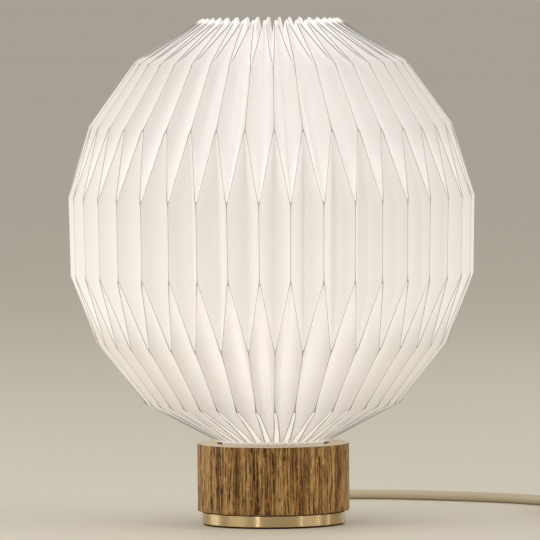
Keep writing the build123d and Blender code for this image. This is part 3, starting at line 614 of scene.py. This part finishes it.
FINISHES = {
    "shade_foil": Foil(),
    "thread": Woven("rim thread", "#EFEAE0", "#C9C1B2", pitch=0.6 * MM),
    # The collar's glow is painted light, in place of the bulb's light on the white plastic.
    "collar": Moulded("collar plastic", "#F4ECDC", glow=0.15),
    "foot": Moulded("foot rubber", "#070605", 0.9, grain=0.08 * MM, speckle=0.2, grain_scale=1400.0),
    "brass": Metal("turned brass", "#CEB588", 0.25, marks=0.001 * MM, dull=0.03, brushed=0.9),
    "oak": Oak(),
    "steel": Metal("zinc steel", "#B4B5B4", 0.34, Lay.EVEN),
    "holder_plastic": Moulded("holder plastic", "#E2DFD6", 0.38),
    "insulator": Moulded("dark insulator", "#2B2825", 0.5),
    "contact_brass": Metal("contact brass", "#CFA95C", 0.32, Lay.EVEN),
    "bulb_cap": Metal("bulb cap", "#C6C5C0", 0.28),
    "bulb_glass": OpalGlass(),
    "filament": Moulded("phosphor", "#E8B856", 0.6, grain=0.06 * MM),
    "cord_sheath": Moulded("cord sheath", "#C3B498", 0.4, grain=0.04 * MM),
    "cord_plastic": Moulded("cord plastic", "#BCAD92", 0.42, grain=0.05 * MM),
    "core_brown": Moulded("brown core", "#5A331B", 0.35),
    "core_blue": Moulded("blue core", "#27509A", 0.35),
    "tie": Woven("woven tie", "#B5AB98", "#7D7463"),
    "pins": Metal("nickel pins", "#C3C0B8", 0.24, Lay.EVEN),
}


# Meshes


def mesh_piece(name: str, points: Array, faces: Array) -> bpy.types.Object:
    """Put an array of points and faces into a new smooth-shaded object at the origin.

    Args:
        name: the piece's name.
        points: one row (x, y, z) a point, in metres.
        faces: one row of point numbers a face, anticlockwise seen from outside.

    Returns:
        The new object.
    """
    mesh = bpy.data.meshes.new(name)
    mesh.from_pydata(np.asarray(points).tolist(), [], np.asarray(faces).tolist())
    mesh.polygons.foreach_set("use_smooth", np.full(len(mesh.polygons), True))
    mesh.update()
    piece = bpy.data.objects.new(name, mesh)
    bpy.context.scene.collection.objects.link(piece)
    return piece


def grid_faces(rows: int, columns: int, wrap_rows: bool = False) -> Array:
    """Quads of a grid of points numbered row by row, whose columns close round.

    Face (i, j) joins the points (i, j), (i, j + 1), (i + 1, j + 1) and (i + 1, j), counted round.

    Args:
        rows: how many rows of points there are.
        columns: how many points a row has.
        wrap_rows: whether the last row joins the first as well.

    Returns:
        One row of four point numbers a face.
    """
    i, j = np.meshgrid(np.arange(rows if wrap_rows else rows - 1), np.arange(columns), indexing="ij")
    next_i, next_j = (i + 1) % rows, (j + 1) % columns
    corners = [i * columns + j, i * columns + next_j, next_i * columns + next_j, next_i * columns + j]
    return np.stack([c.ravel() for c in corners], axis=1)


def softened(outline: Array, radii: Array, steps: int = 5, most: float = 0.45, guard: float = 1.1) -> Array:
    """Round the corners of a closed outline.

    Each corner C gives way to the curve (1-s)^2 P + 2 s (1-s) C + s^2 Q between the points P and Q that
    lie its radius before and after it, with one more point at each side that keeps the flats flat.

    Args:
        outline: corners (radius, height) in order.
        radii: how far from each corner its curve begins.
        steps: points on each curve.
        most: the largest cut, as a share of the shorter side.
        guard: where the point beside a curve lies, in cuts from the corner.

    Returns:
        The points of the rounded outline.
    """
    before = np.roll(outline, 1, axis=0) - outline
    after = np.roll(outline, -1, axis=0) - outline
    reach = np.minimum(np.linalg.norm(before, axis=1), np.linalg.norm(after, axis=1))
    cut = np.minimum(radii, most * reach)[:, None, None]
    back = (before / np.linalg.norm(before, axis=1)[:, None])[:, None, :]
    ahead = (after / np.linalg.norm(after, axis=1)[:, None])[:, None, :]
    s = np.linspace(0.0, 1.0, steps)[None, :, None]
    corner = outline[:, None, :]
    curve = corner + (1 - s) ** 2 * cut * back + s ** 2 * cut * ahead
    beside = guard * cut
    return np.concatenate([corner + beside * back, curve, corner + beside * ahead], axis=1).reshape(-1, 2)


def merged(piece: bpy.types.Object) -> bpy.types.Object:
    """Merge points that coincide, which closes seams and poles, and drop the faces that this flattens.

    Args:
        piece: the object to clean.

    Returns:
        The same object.
    """
    work = bmesh.new()
    work.from_mesh(piece.data)
    bmesh.ops.remove_doubles(work, verts=work.verts, dist=MERGE_DISTANCE)
    bmesh.ops.dissolve_degenerate(work, edges=work.edges, dist=MERGE_DISTANCE)
    work.to_mesh(piece.data)
    work.free()
    return piece


def turned(name: str, outline: Array, steps: int = 256) -> bpy.types.Object:
    """Carry a closed outline of (radius, height) round the lamp's axis: (r cos a, r sin a, h).

    The outline runs anticlockwise with radius to the right and height up, so the faces point outwards.
    An outline that starts and ends on the axis is left open there, and its poles are merged.

    Args:
        name: the piece's name.
        outline: the points (radius, height) in order.
        steps: how many places round the axis.

    Returns:
        The turned piece.
    """
    angle = np.linspace(0.0, 2 * np.pi, steps, endpoint=False)[None, :]
    radius, height = outline[:, 0:1], outline[:, 1:2]
    points = np.stack([radius * np.cos(angle), radius * np.sin(angle), height + 0 * angle], axis=-1)
    ring = bool(outline[0, 0] > 0)
    return merged(mesh_piece(name, points.reshape(-1, 3), grid_faces(len(outline), steps, wrap_rows=ring)))


class Dresser:
    """Makes each finish's material once and gives it to the pieces of its slot."""

    made: dict[str, bpy.types.Material] = {}

    @classmethod
    def material(cls, slot: str) -> bpy.types.Material:
        """The material of a slot, made when it is first asked for.

        Args:
            slot: one of the record's material slots.

        Returns:
            Its material.
        """
        if slot not in cls.made:
            cls.made[slot] = FINISHES[slot].material()
        return cls.made[slot]

    @classmethod
    def dress(cls, piece: bpy.types.Object, slot: str) -> None:
        """Give a piece the finish of a slot.

        Args:
            piece: the piece, which may have material places of its own.
            slot: one of the record's material slots.
        """
        if not piece.data.materials:
            piece.data.materials.append(cls.material(slot))
        for place in piece.material_slots:
            place.material = cls.material(slot)

    @classmethod
    def dress_nodes(cls) -> None:
        """Give every carried-over CAD node the finish of its slot."""
        for part in frame["record"]["subparts"]:
            cls.dress(frame["nodes"][part["node"]], part["material_slot"])
            log.info("node %s in %s", part["node"], part["material_slot"])


def settle(piece: bpy.types.Object, body: str, slot: str, *nodes: str) -> bpy.types.Object:
    """Finish a piece: its material, the body it rides on and the CAD nodes that it stands for.

    Args:
        piece: the object, already in place.
        body: the CAD body that it moves with.
        slot: the record's material slot of its finish.
        nodes: the CAD nodes that it replaces, if any.

    Returns:
        The same piece.
    """
    Dresser.dress(piece, slot)
    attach(piece, body)
    if nodes:
        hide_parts(*nodes)
    log.info("piece %s on %s", piece.name, body)
    return piece


# The shade


class Line(IntEnum):
    """The six lines that cross each half pleat, from the top down."""

    TOP_EDGE = 0
    CROWN = 1
    UPPER_KNUCKLE = 2
    LOWER_KNUCKLE = 3
    TUCK = 4
    BOTTOM_EDGE = 5


class Panel(IntEnum):
    """The five panels between the lines."""

    RIM = 0
    UPPER = 1
    BELLY = 2
    LOWER = 3
    NECK = 4


@dataclass
class PleatedShade:
    """The folded foil globe.

    Every corner of the folds lies on one of two sets of upright planes, A at whole pitches and B half a
    pitch on. Six lines cross each half pleat from its A plane to its B plane and bound five panels.
    Corners are (radius, height). Twists are in degrees, rows are the faces down each panel and columns
    the faces across half a pleat. A wave is its size in degrees, its cycles round the sheet, its turn
    for each metre of height and its start. A snap is the share of a line in which it leaves its corner.
    """

    pleats: int = 40
    facet_width: float = 17.45 * MM
    thickness: float = 0.3 * MM
    top_tip: Pair = (41.0 * MM, 304.0 * MM)
    top_notch: Pair = (38.0 * MM, 290.9 * MM)
    crown: Pair = (82.5 * MM, 277.9 * MM)
    shoulder: Pair = (109.2 * MM, 240.4 * MM)
    upper_belly: Pair = (122.5 * MM, 197.7 * MM)
    lower_belly: Pair = (121.5 * MM, 150.6 * MM)
    hip: Pair = (105.5 * MM, 109.1 * MM)
    tuck: Pair = (76.7 * MM, 73.0 * MM)
    bottom_tip: Pair = (33.2 * MM, 50.0 * MM)
    bottom_notch: Pair = (31.0 * MM, 50.8 * MM)
    fold_share: float = 0.035
    fold_fade: float = 0.06
    sharp_fold: float = 24.0
    tip_start: float = 0.88
    tip_width: float = 0.26
    tip_drop: float = 1.6 * MM
    tip_drop_most: float = 0.1
    crown_power: float = 0.6
    edge_power: float = 0.85
    petal_width: float = 0.47
    petal_snap: float = 0.035
    knuckle_round: float = 0.07
    knuckle_snap: float = 0.012
    rim_reach: int = 1
    upright_reach: int = 8
    knuckle_reach: int = 25
    blunt_start: float = 0.8
    blunt_gap: float = 2.0 * MM
    far_off: float = 1.0
    rim_twist: float = 2.7
    rim_drift: float = 1.74
    neck_twist: float = 2.6
    waves: tuple[tuple[float, float, float, float], ...] = (
        (0.22, 7.0, 12.0, 1.3), (0.16, 13.0, -9.0, 0.0))
    crowding: float = 0.9
    columns: int = 12
    rows: tuple[int, ...] = (7, 12, 10, 12, 7)

    @property
    def half_pitch(self) -> float:
        """The angle from an A plane to the next B plane."""
        return math.pi / self.pleats

    def knots(self) -> tuple[Array, Array]:
        """The six lines' ends in space.

        Returns:
            Their points on the A plane y = 0 and their points on the B plane beside it.
        """
        line_a = np.array([self.top_notch, self.crown, self.shoulder, self.hip, self.tuck,
                           self.bottom_notch])
        line_b = np.array([self.top_tip, self.top_tip, self.upper_belly, self.lower_belly,
                           self.bottom_tip, self.bottom_tip])
        turn = self.half_pitch
        return (np.stack([line_a[:, 0], 0 * line_a[:, 0], line_a[:, 1]], axis=1),
                np.stack([line_b[:, 0] * math.cos(turn), line_b[:, 0] * math.sin(turn), line_b[:, 1]],
                         axis=1))

    def crowded(self, count: int) -> Array:
        """Shares from 0 to 1 that crowd towards both ends: s - crowding sin(2 pi s) / (2 pi)."""
        s = np.linspace(0.0, 1.0, count + 1)
        return s - self.crowding * np.sin(2 * np.pi * s) / (2 * np.pi)

    def opening(self, line: int, v: Array) -> Array:
        """How wide the fan between two mirrored fold lines is.

        The crown's fan opens as v to the crown_power, and the edges as v to the edge_power. The tuck's is
        a petal, which opens at once to about half: (p + (1 - p) v)(1 - exp(-v / petal_snap)), where p is
        the petal_width.

        Args:
            line: the line's number.
            v: shares of the way from its corner to the tips.

        Returns:
            Shares of the full width.
        """
        if line == Line.TUCK:
            return (self.petal_width + (1 - self.petal_width) * v) * (1 - np.exp(-v / self.petal_snap))
        return v ** (self.crown_power if line == Line.CROWN else self.edge_power)

    def bend(self, line: int, u: Array) -> Array:
        """How far a line strays from the straight one between its ends.

        The point lies a of the way in radius and height, and w of the way sideways. At the rims both end
        in a blunt tip: past the tip's start w goes evenly to 1 and a follows a quarter circle. At the
        knuckles a = u, and w leaves each corner by knuckle_round (1 - exp(-u / knuckle_snap)) (1 - u)^3.

        Args:
            line: the line's number.
            u: shares of the way from the A plane to the B plane.

        Returns:
            One row (x, y, z) a share.
        """
        first, last = (ends[line] for ends in self.knots())
        if line in (Line.UPPER_KNUCKLE, Line.LOWER_KNUCKLE):
            leave, arrive = ((1 - np.exp(-s / self.knuckle_snap)) * (1 - s) ** 3 for s in (u, 1 - u))
            along, sideways = u, u + self.knuckle_round * (leave - arrive)
        else:
            drop = min(self.tip_drop / np.linalg.norm(last - first), self.tip_drop_most)
            v = np.minimum(u / self.tip_start, 1.0)
            beyond = np.clip((u - self.tip_start) / (1 - self.tip_start), 0.0, 1.0)
            along = (1 - drop) * v + drop * np.sqrt(1 - (1 - beyond) ** 2)
            sideways = (1 - self.tip_width) * self.opening(line, v) + self.tip_width * beyond
        share = np.stack([along - u, sideways - u, along - u], axis=1)
        return share * (last - first)

    def ruled(self, panel: int, share: Array, u: Array) -> tuple[Array, Array, Array]:
        """A panel's straight ruled surface (1 - u) A(t) + u B(t).

        Args:
            panel: the panel's number.
            share: shares t of the way down it.
            u: shares of the way from its A side to its B side.

        Returns:
            The points A(t), the points B(t) and the surface.
        """
        ends_a, ends_b = self.knots()
        a = ends_a[panel] + share[:, None] * (ends_a[panel + 1] - ends_a[panel])
        b = ends_b[panel] + share[:, None] * (ends_b[panel + 1] - ends_b[panel])
        return a, b, (1 - u)[None, :, None] * a[:, None, :] + u[None, :, None] * b[:, None, :]

    def rounding(self, a: Array, b: Array, share: Array, u: Array) -> Array:
        """How far the sheet gives way beside its upright folds.

        A fold of slope m between its facets is rounded over a width w by the shift m w/2 (1 - x/w)^2
        across the fold line, so the sheet is level at the fold and meets the facet smoothly. The shift
        fades out towards the knuckles.

        Args:
            a: points down the panel's A side.
            b: points down its B side.
            share: shares of the way down the panel.
            u: shares of the way from the A side to the B side.

        Returns:
            The shift of each point, rows by columns by 3.
        """
        fade = np.clip(np.minimum(share, 1 - share) / self.fold_fade, 0.0, 1.0)[:, None, None]
        shift = np.zeros((len(share), len(u), 3))
        for start, end, turn, near in ((a, b, 0.0, u), (b, a, self.half_pitch, 1 - u)):
            down = start[-1] - start[0]
            if np.linalg.norm(down) < MERGE_DISTANCE:
                continue
            down = down / np.linalg.norm(down)
            radial = np.array([math.cos(turn), math.sin(turn), 0.0])
            sideways = np.array([-math.sin(turn), math.cos(turn), 0.0])
            outward = np.cross(sideways, down)
            outward = outward * np.sign(outward @ radial)
            rise = (end - start) @ outward
            weight = np.clip(1 - near / self.fold_share, 0.0, 1.0) ** 2
            shift += (rise[:, None] * self.fold_share / 2 * weight[None, :])[:, :, None] * outward
        return shift * fade

    def panel_points(self, panel: int, share: Array, u: Array) -> Array:
        """One panel: its ruled surface with rounded folds, drawn over to the bent lines above and below.

        A line's bend reaches into the panel as (1 - t)^n, where t is the share of the way from the line
        and n is 1 in a rim panel, 8 in an upright panel beside a rim and 25 from a knuckle.

        Args:
            panel: the panel's number.
            share: shares of the way down it.
            u: shares of the way from its A side to its B side.

        Returns:
            The points, rows by columns by 3.
        """
        a, b, flat = self.ruled(panel, share, u)
        points = flat + self.rounding(a, b, share, u)
        for line, away in ((panel, share), (panel + 1, 1 - share)):
            if panel in (Panel.RIM, Panel.NECK):
                power = self.rim_reach
            elif line in (Line.UPPER_KNUCKLE, Line.LOWER_KNUCKLE):
                power = self.knuckle_reach
            else:
                power = self.upright_reach
            points += ((1 - away) ** power)[:, None, None] * self.bend(line, u)[None, :, :]
        return points

    def fold_maps(self, panel: int, share: Array, u: Array) -> Array:
        """What the finish needs at each point of a panel.

        Args:
            panel: the panel's number.
            share: shares of the way down it.
            u: shares of the way from its A side to its B side.

        Returns:
            Rows by columns of four numbers: millimetres to the upright ridge, millimetres to the nearer
            crossing fold, 1 in the valley to 0 on the ridge, and how far down the sheet from 0 to 1.
        """
        a, b, flat = self.ruled(panel, share, u)
        crossing = np.full(flat.shape[:2], self.far_off)
        for line, side in ((panel, 0), (panel + 1, -1)):
            if line in (Line.TOP_EDGE, Line.BOTTOM_EDGE):
                continue
            along = (b[side] - a[side]) / np.linalg.norm(b[side] - a[side])
            gap = flat - a[side]
            gap = gap - (gap @ along)[:, :, None] * along
            blunt = np.clip((u - self.blunt_start) / (1 - self.blunt_start), 0.0, 1.0) * self.blunt_gap
            blunt = blunt * (line in (Line.CROWN, Line.TUCK))
            crossing = np.minimum(crossing, np.linalg.norm(gap, axis=2) + blunt)
        upright = {Panel.UPPER: u, Panel.BELLY: 1 - u, Panel.LOWER: u}
        ridge = upright.get(panel, 1 + 0 * u) * self.facet_width
        valley = upright.get(panel, 1 - u)
        depth = ((panel + share) / len(self.rows))[:, None]
        maps = (ridge / MM, crossing / MM, valley, depth)
        return np.stack([np.broadcast_to(value, crossing.shape) for value in maps], axis=2)

    def uneven(self, radius: Array, angle: Array, height: Array) -> Array:
        """How far each point is turned about the axis, because the sheet is gathered by hand.

        The rim is twisted by rim_twist + rim_drift sin(angle) degrees and the neck by neck_twist, both
        growing evenly from the crown or the tuck to the tips, and slow waves run round the whole sheet.

        Args:
            radius: the points' distances from the axis.
            angle: their angles about it.
            height: their heights.

        Returns:
            The turn of each point in radians.
        """
        upper = height > (self.crown[1] + self.tuck[1]) / 2
        rim = np.clip((self.crown[0] - radius) / (self.crown[0] - self.top_tip[0]), 0.0, 1.0) * upper
        neck = np.clip((self.tuck[0] - radius) / (self.tuck[0] - self.bottom_tip[0]), 0.0, 1.0) * ~upper
        waves = sum(size * np.sin(cycles * angle + climb * height + start)
                    for size, cycles, climb, start in self.waves)
        twist = self.rim_twist + self.rim_drift * np.sin(angle)
        return np.radians(neck * self.neck_twist - rim * twist + waves)

    def build(self) -> bpy.types.Object:
        """Fold the whole sheet: one ring of points a row, with the fold maps on its face corners.

        Returns:
            The finished shade.
        """
        half = self.crowded(self.columns)
        signed = np.concatenate([-half[:0:-1], half[:-1]])
        u = np.abs(signed)
        sheet, maps = [], []
        for panel, count in enumerate(self.rows):
            share = self.crowded(count)
            points = self.panel_points(panel, share, u)
            points[:, :, 1] *= np.where(signed < 0, -1.0, 1.0)
            sheet.append(points if panel == Panel.NECK else points[:-1])
            maps.append(self.fold_maps(panel, share, u))
        pleat = np.concatenate(sheet)[:, None]
        radius, height = np.hypot(pleat[..., 0], pleat[..., 1]), pleat[..., 2]
        turn = (2 * self.half_pitch * np.arange(self.pleats) - np.pi / 2)[None, :, None]
        angle = np.arctan2(pleat[..., 1], pleat[..., 0]) + turn
        angle = angle + self.uneven(radius, angle, height)
        ring = np.stack([radius * np.cos(angle), radius * np.sin(angle), height + 0 * angle], axis=3)
        piece = mesh_piece("pleated_foil", ring.reshape(-1, 3),
                           grid_faces(len(pleat), self.pleats * len(u))[:, ::-1])
        self.write_maps(piece, maps)
        return self.close(piece)

    def write_maps(self, piece: bpy.types.Object, maps: list[Array]) -> None:
        """Give each face corner its distances to the folds and its place between ridge and valley.

        Args:
            piece: the sheet, before its points are merged.
            maps: the fold maps of each panel.
        """
        corners = []
        for here in maps:
            after = np.roll(here, -1, axis=1)
            corners.append(np.stack([here[1:], after[1:], after[:-1], here[:-1]], axis=2))
        table = np.concatenate(corners)
        table = np.broadcast_to(table[:, None], (table.shape[0], self.pleats, *table.shape[1:]))
        flat = table.reshape(-1, 4)
        for name, pair in (("fold", flat[:, 0:2]), ("lie", flat[:, 2:4])):
            layer = piece.data.uv_layers.new(name=name)
            layer.data.foreach_set("uv", np.ascontiguousarray(pair, dtype=np.float32).ravel())

    def close(self, piece: bpy.types.Object) -> bpy.types.Object:
        """Merge the points that meet at the rims' tips and give the sheet its thickness.

        Args:
            piece: the sheet with its maps.

        Returns:
            The same piece, dressed and on its body.
        """
        merged(piece)
        piece.data.set_sharp_from_angle(angle=math.radians(self.sharp_fold))
        wall = piece.modifiers.new("foil thickness", "SOLIDIFY")
        wall.thickness = self.thickness
        wall.offset = -1.0
        return settle(piece, "shade", "shade_foil", "pleated_shade")


# The base


@dataclass
class Base:
    """The turned base: rubber pad, brass plate and oak ring, at the heights that the frame gives."""

    oak_edge: float = 0.6 * MM
    inner_edge: float = 0.3 * MM
    brass_edge: float = 0.3 * MM
    spigot_edge: float = 0.1 * MM
    pad_edge: float = 0.2 * MM
    tube_hole: float = 5.1 * MM
    recess: float = 33.8 * MM
    cavity: float = 36.0 * MM
    recess_depth: float = 8.0 * MM
    web: float = 8.0 * MM
    spigot: float = 39.5 * MM
    shadow_gap: float = 0.8 * MM
    steps: int = 360

    def build(self) -> None:
        """Turn the three pieces."""
        self.oak_ring()
        self.brass_plate()
        self.foot_pad()

    def oak_ring(self) -> bpy.types.Object:
        """The oak ring with its recess for the collar above and its cavity below.

        Returns:
            The ring.
        """
        low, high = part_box("oak_base_ring")
        radius, floor = high.x, high.z - self.recess_depth
        outline = np.array([
            (self.tube_hole, floor - self.web), (self.cavity, floor - self.web), (self.cavity, low.z),
            (radius, low.z), (radius, high.z), (self.recess, high.z), (self.recess, floor),
            (self.tube_hole, floor)])
        radii = np.where(outline[:, 0] == radius, self.oak_edge, self.inner_edge)
        ring = turned("oak_ring", softened(outline, radii), self.steps)
        return settle(ring, "base", "oak", "oak_base_ring")

    def brass_plate(self) -> bpy.types.Object:
        """The brass plate, its edges eased, with the narrower spigot that makes the dark gap.

        Returns:
            The plate.
        """
        low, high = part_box("brass_base_plate")
        radius, top = high.x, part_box("oak_base_ring")[0].z
        plate_top = top - self.shadow_gap
        outline = np.array([(0.0, low.z), (radius, low.z), (radius, plate_top),
                            (self.spigot, plate_top), (self.spigot, top), (0.0, top)])
        radii = np.array([0.0, self.brass_edge, self.brass_edge, self.spigot_edge, self.spigot_edge, 0.0])
        plate = turned("brass_plate", softened(outline, radii), self.steps)
        return settle(plate, "base", "brass", "brass_base_plate")

    def foot_pad(self) -> bpy.types.Object:
        """The black pad that the lamp stands on.

        Returns:
            The pad.
        """
        low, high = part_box("foot_pad")
        outline = np.array([(0.0, low.z), (high.x, low.z), (high.x, high.z), (0.0, high.z)])
        radii = np.array([0.0, self.pad_edge, self.pad_edge, 0.0])
        return settle(turned("pad", softened(outline, radii)), "base", "foot", "foot_pad")


# The cord


@dataclass
class Cord:
    """The mains cord on one smooth line from the bush through the switch and the coil to the plug.

    Points of the route and measures of the coil are in millimetres.
    """

    diameter: float = 6.0 * MM
    length: float = 1.8
    exit: Place = (0.0, 75.8 * MM, 16.0 * MM)
    coil_centre: Pair = (241.0, -22.0)
    coil_radius: float = 44.0
    coil_turns: int = 6
    coil_pitch: float = 6.5
    coil_low: float = 3.8
    climb_turns: float = 0.5
    points_a_turn: int = 24
    round_steps: int = 5
    line_steps: int = 6
    lead: list[Place] = field(default_factory=lambda: [
        (0, 72.8, 16), (0, 91, 16), (0.6, 107, 12.4), (2.2, 125, 6.0), (5, 144, 3.1), (9.5, 163, 3.1),
        (18, 180.5, 3.1), (32, 193.5, 3.1), (51, 198.5, 3.1), (73, 195, 3.1), (98, 184, 3.1),
        (126, 168, 3.1), (150, 151, 3.1), (167, 132, 3.1), (179, 113, 4.3), (186.51, 94.76, 7.5),
        (188.39, 76.86, 7.5)])
    middle: list[Place] = field(default_factory=lambda: [
        (193.61, 27.14, 7.5), (195.08, 13.21, 7.5), (196.6, 1.0, 5.2), (197, -6, 3.8), (197, -16, 3.8)])
    tail: list[Place] = field(default_factory=lambda: [
        (197, -28, 10.3), (197, -39, 10.3), (197.8, -53, 8.6), (199, -68, 6.25), (199, -77, 6.85),
        (199, -88, 6.85)])

    def coil(self) -> Array:
        """Control points of the coil, in millimetres.

        After w turns of n the radius is R - p min(w, n - w), where p is the pitch, and the height rises by
        p on half a cosine in the climb about n / 2. The control points stand out by
        1 / cos(pi / points a turn), because the spline cuts inside them.

        Returns:
            One row (x, y, z) a point.
        """
        turn = np.linspace(0.0, self.coil_turns, self.coil_turns * self.points_a_turn + 1)
        inward = np.minimum(turn, self.coil_turns - turn)
        radius = (self.coil_radius - self.coil_pitch * inward) / math.cos(math.pi / self.points_a_turn)
        climbed = turn - (self.coil_turns - self.climb_turns) / 2
        climb = np.clip(climbed / self.climb_turns, 0.0, 1.0) * np.pi
        height = self.coil_low + self.coil_pitch * (1 - np.cos(climb)) / 2
        angle = np.pi + 2 * np.pi * turn
        return np.stack([self.coil_centre[0] + radius * np.cos(angle),
                         self.coil_centre[1] + radius * np.sin(angle), height], axis=1)

    def build(self, carried: list[bpy.types.Object]) -> bpy.types.Object:
        """Args:
            carried: the separate pieces on the cord; not used.

        Returns:
            The cord.
        """
        route = np.concatenate([self.lead, self.middle, self.coil(), self.tail]) * MM
        curve = bpy.data.curves.new("mains_cord", "CURVE")
        curve.dimensions = "3D"
        curve.bevel_depth = self.diameter / 2
        curve.bevel_resolution = self.round_steps
        curve.use_fill_caps = True
        spline = curve.splines.new("NURBS")
        spline.points.add(len(route) - 1)
        weighted = np.concatenate([route, np.ones((len(route), 1))], axis=1)
        spline.points.foreach_set("co", weighted.ravel())
        spline.order_u = 3
        spline.use_endpoint_u = True
        spline.resolution_u = self.line_steps
        piece = bpy.data.objects.new("mains_cord", curve)
        bpy.context.scene.collection.objects.link(piece)
        settle(piece, "base", "cord_sheath", "cord_lead", "cord_middle", "cord_coil", "cord_tail")
        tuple(self.exit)
        return piece


# The studio


@dataclass(frozen=True)
class Softbox:
    """A flat soft light that faces the lamp's middle, with its width and height and its watts."""

    name: str
    place: Place
    size: Pair
    power: float
    tint: Colour = (1.0, 0.98, 0.95)
    target: Place = (0.0, 0.0, 0.17)

    def build(self) -> bpy.types.Object:
        """Hang the light and turn it to the lamp.

        Returns:
            The light.
        """
        data = bpy.data.lights.new(self.name, "AREA")
        data.shape = "RECTANGLE"
        data.size, data.size_y = self.size
        data.energy = self.power
        data.color = self.tint
        light = bpy.data.objects.new(self.name, data)
        aim = np.array(self.target) - np.array(self.place)
        light.location = self.place
        light.rotation_euler = (math.acos(-aim[2] / np.linalg.norm(aim)), 0.0,
                                math.atan2(aim[1], aim[0]) - math.pi / 2)
        bpy.context.scene.collection.objects.link(light)
        return light


@dataclass
class Studio:
    """Camera, lights and floor.

    The camera stands where the photograph was taken from; its frame is 540 pixels square. Angles are in
    degrees. A strip is a tall narrow light: its name, its side of the lamp from the front round to the
    right, its width and its watts.
    """

    distance: float = 5.716
    height: float = 0.433
    pitch: float = 2.806
    roll: float = 0.44
    azimuth: float = -1.1
    view_angle: float = 3.247
    aside: float = 1.05 * MM
    sight: float = 200.0
    floor_half: float = 60.0
    fill_tint: Colour = (1.0, 0.985, 0.95)
    fill_strength: float = 0.55
    softboxes: tuple[Softbox, ...] = (
        Softbox("left_softbox", (-1.9, -0.9, 1.1), (1.3, 1.3), 13.4),
        Softbox("right_softbox", (1.9, -0.8, 1.0), (1.3, 1.3), 10.0),
        Softbox("top_softbox", (0.0, -0.2, 2.3), (1.8, 1.8), 8.0))
    strips: tuple[tuple[str, float, float, float], ...] = (
        ("strip_left", -27.0, 0.08, 3.2), ("strip_front", 44.0, 0.05, 1.6),
        ("strip_side", 76.0, 0.04, 1.2), ("strip_right", 98.0, 0.12, 2.4),
        ("strip_back", 148.0, 0.08, 2.0), ("panel_left", -112.0, 0.90, 9.0))
    strip_reach: float = 2.0
    strip_height: float = 0.6
    strip_length: float = 1.0

    def build(self) -> None:
        """Set up everything round the lamp."""
        self.camera()
        self.floor()
        self.world()
        for softbox in self.softboxes:
            softbox.build()
        for name, side, width, power in self.strips:
            turn = math.radians(side)
            place = (self.strip_reach * math.sin(turn), -self.strip_reach * math.cos(turn),
                     self.strip_height)
            Softbox(name, place, (width, self.strip_length), power).build()
        bpy.context.scene.view_settings.view_transform = "Standard"

    def camera(self) -> None:
        """A long lens that looks along +Y and a little down."""
        data = bpy.data.cameras.new("camera")
        data.sensor_fit = "HORIZONTAL"
        data.angle = math.radians(self.view_angle)
        data.clip_end = self.sight
        camera = bpy.data.objects.new("camera", data)
        turn = math.radians(self.azimuth)
        camera.location = (self.distance * math.sin(turn) + self.aside,
                           -self.distance * math.cos(turn), self.height)
        spin = Matrix.Rotation(turn, 3, "Z") @ Matrix.Rotation(math.radians(self.roll), 3, "Y")
        tilt = Matrix.Rotation(math.radians(90.0 - self.pitch), 3, "X")
        camera.rotation_euler = (spin @ tilt).to_euler()
        bpy.context.scene.collection.objects.link(camera)
        bpy.context.scene.camera = camera

    def floor(self) -> None:
        """A large pale floor."""
        side = self.floor_half
        corners = np.array([(-side, -side, 0), (side, -side, 0), (side, side, 0), (-side, side, 0)])
        piece = mesh_piece("studio_floor", corners, np.array([(0, 1, 2, 3)]))
        piece.data.materials.append(PaleFloor().material())

    def world(self) -> None:
        """An even soft fill from all round."""
        world = bpy.data.worlds.new("studio fill")
        world.use_nodes = True
        backdrop = world.node_tree.nodes["Background"]
        backdrop.inputs["Color"].default_value = (*self.fill_tint, 1.0)
        backdrop.inputs["Strength"].default_value = self.fill_strength
        bpy.context.scene.world = world


def main() -> None:
    """Dress the nodes, light them and build each sub-assembly."""
    logging.basicConfig(level=logging.INFO, format="%(name)s: %(message)s")
    Dresser.dress_nodes()
    Studio().build()
    carried = [frame["nodes"][name] for name in frame["record"]["physics"]["cord_nodes"]
               if not name.startswith("cord_") or name == "cord_ties"]
    Cord().build(carried)
    PleatedShade().build()
    Base().build()


if __name__ == "__main__":
    main()
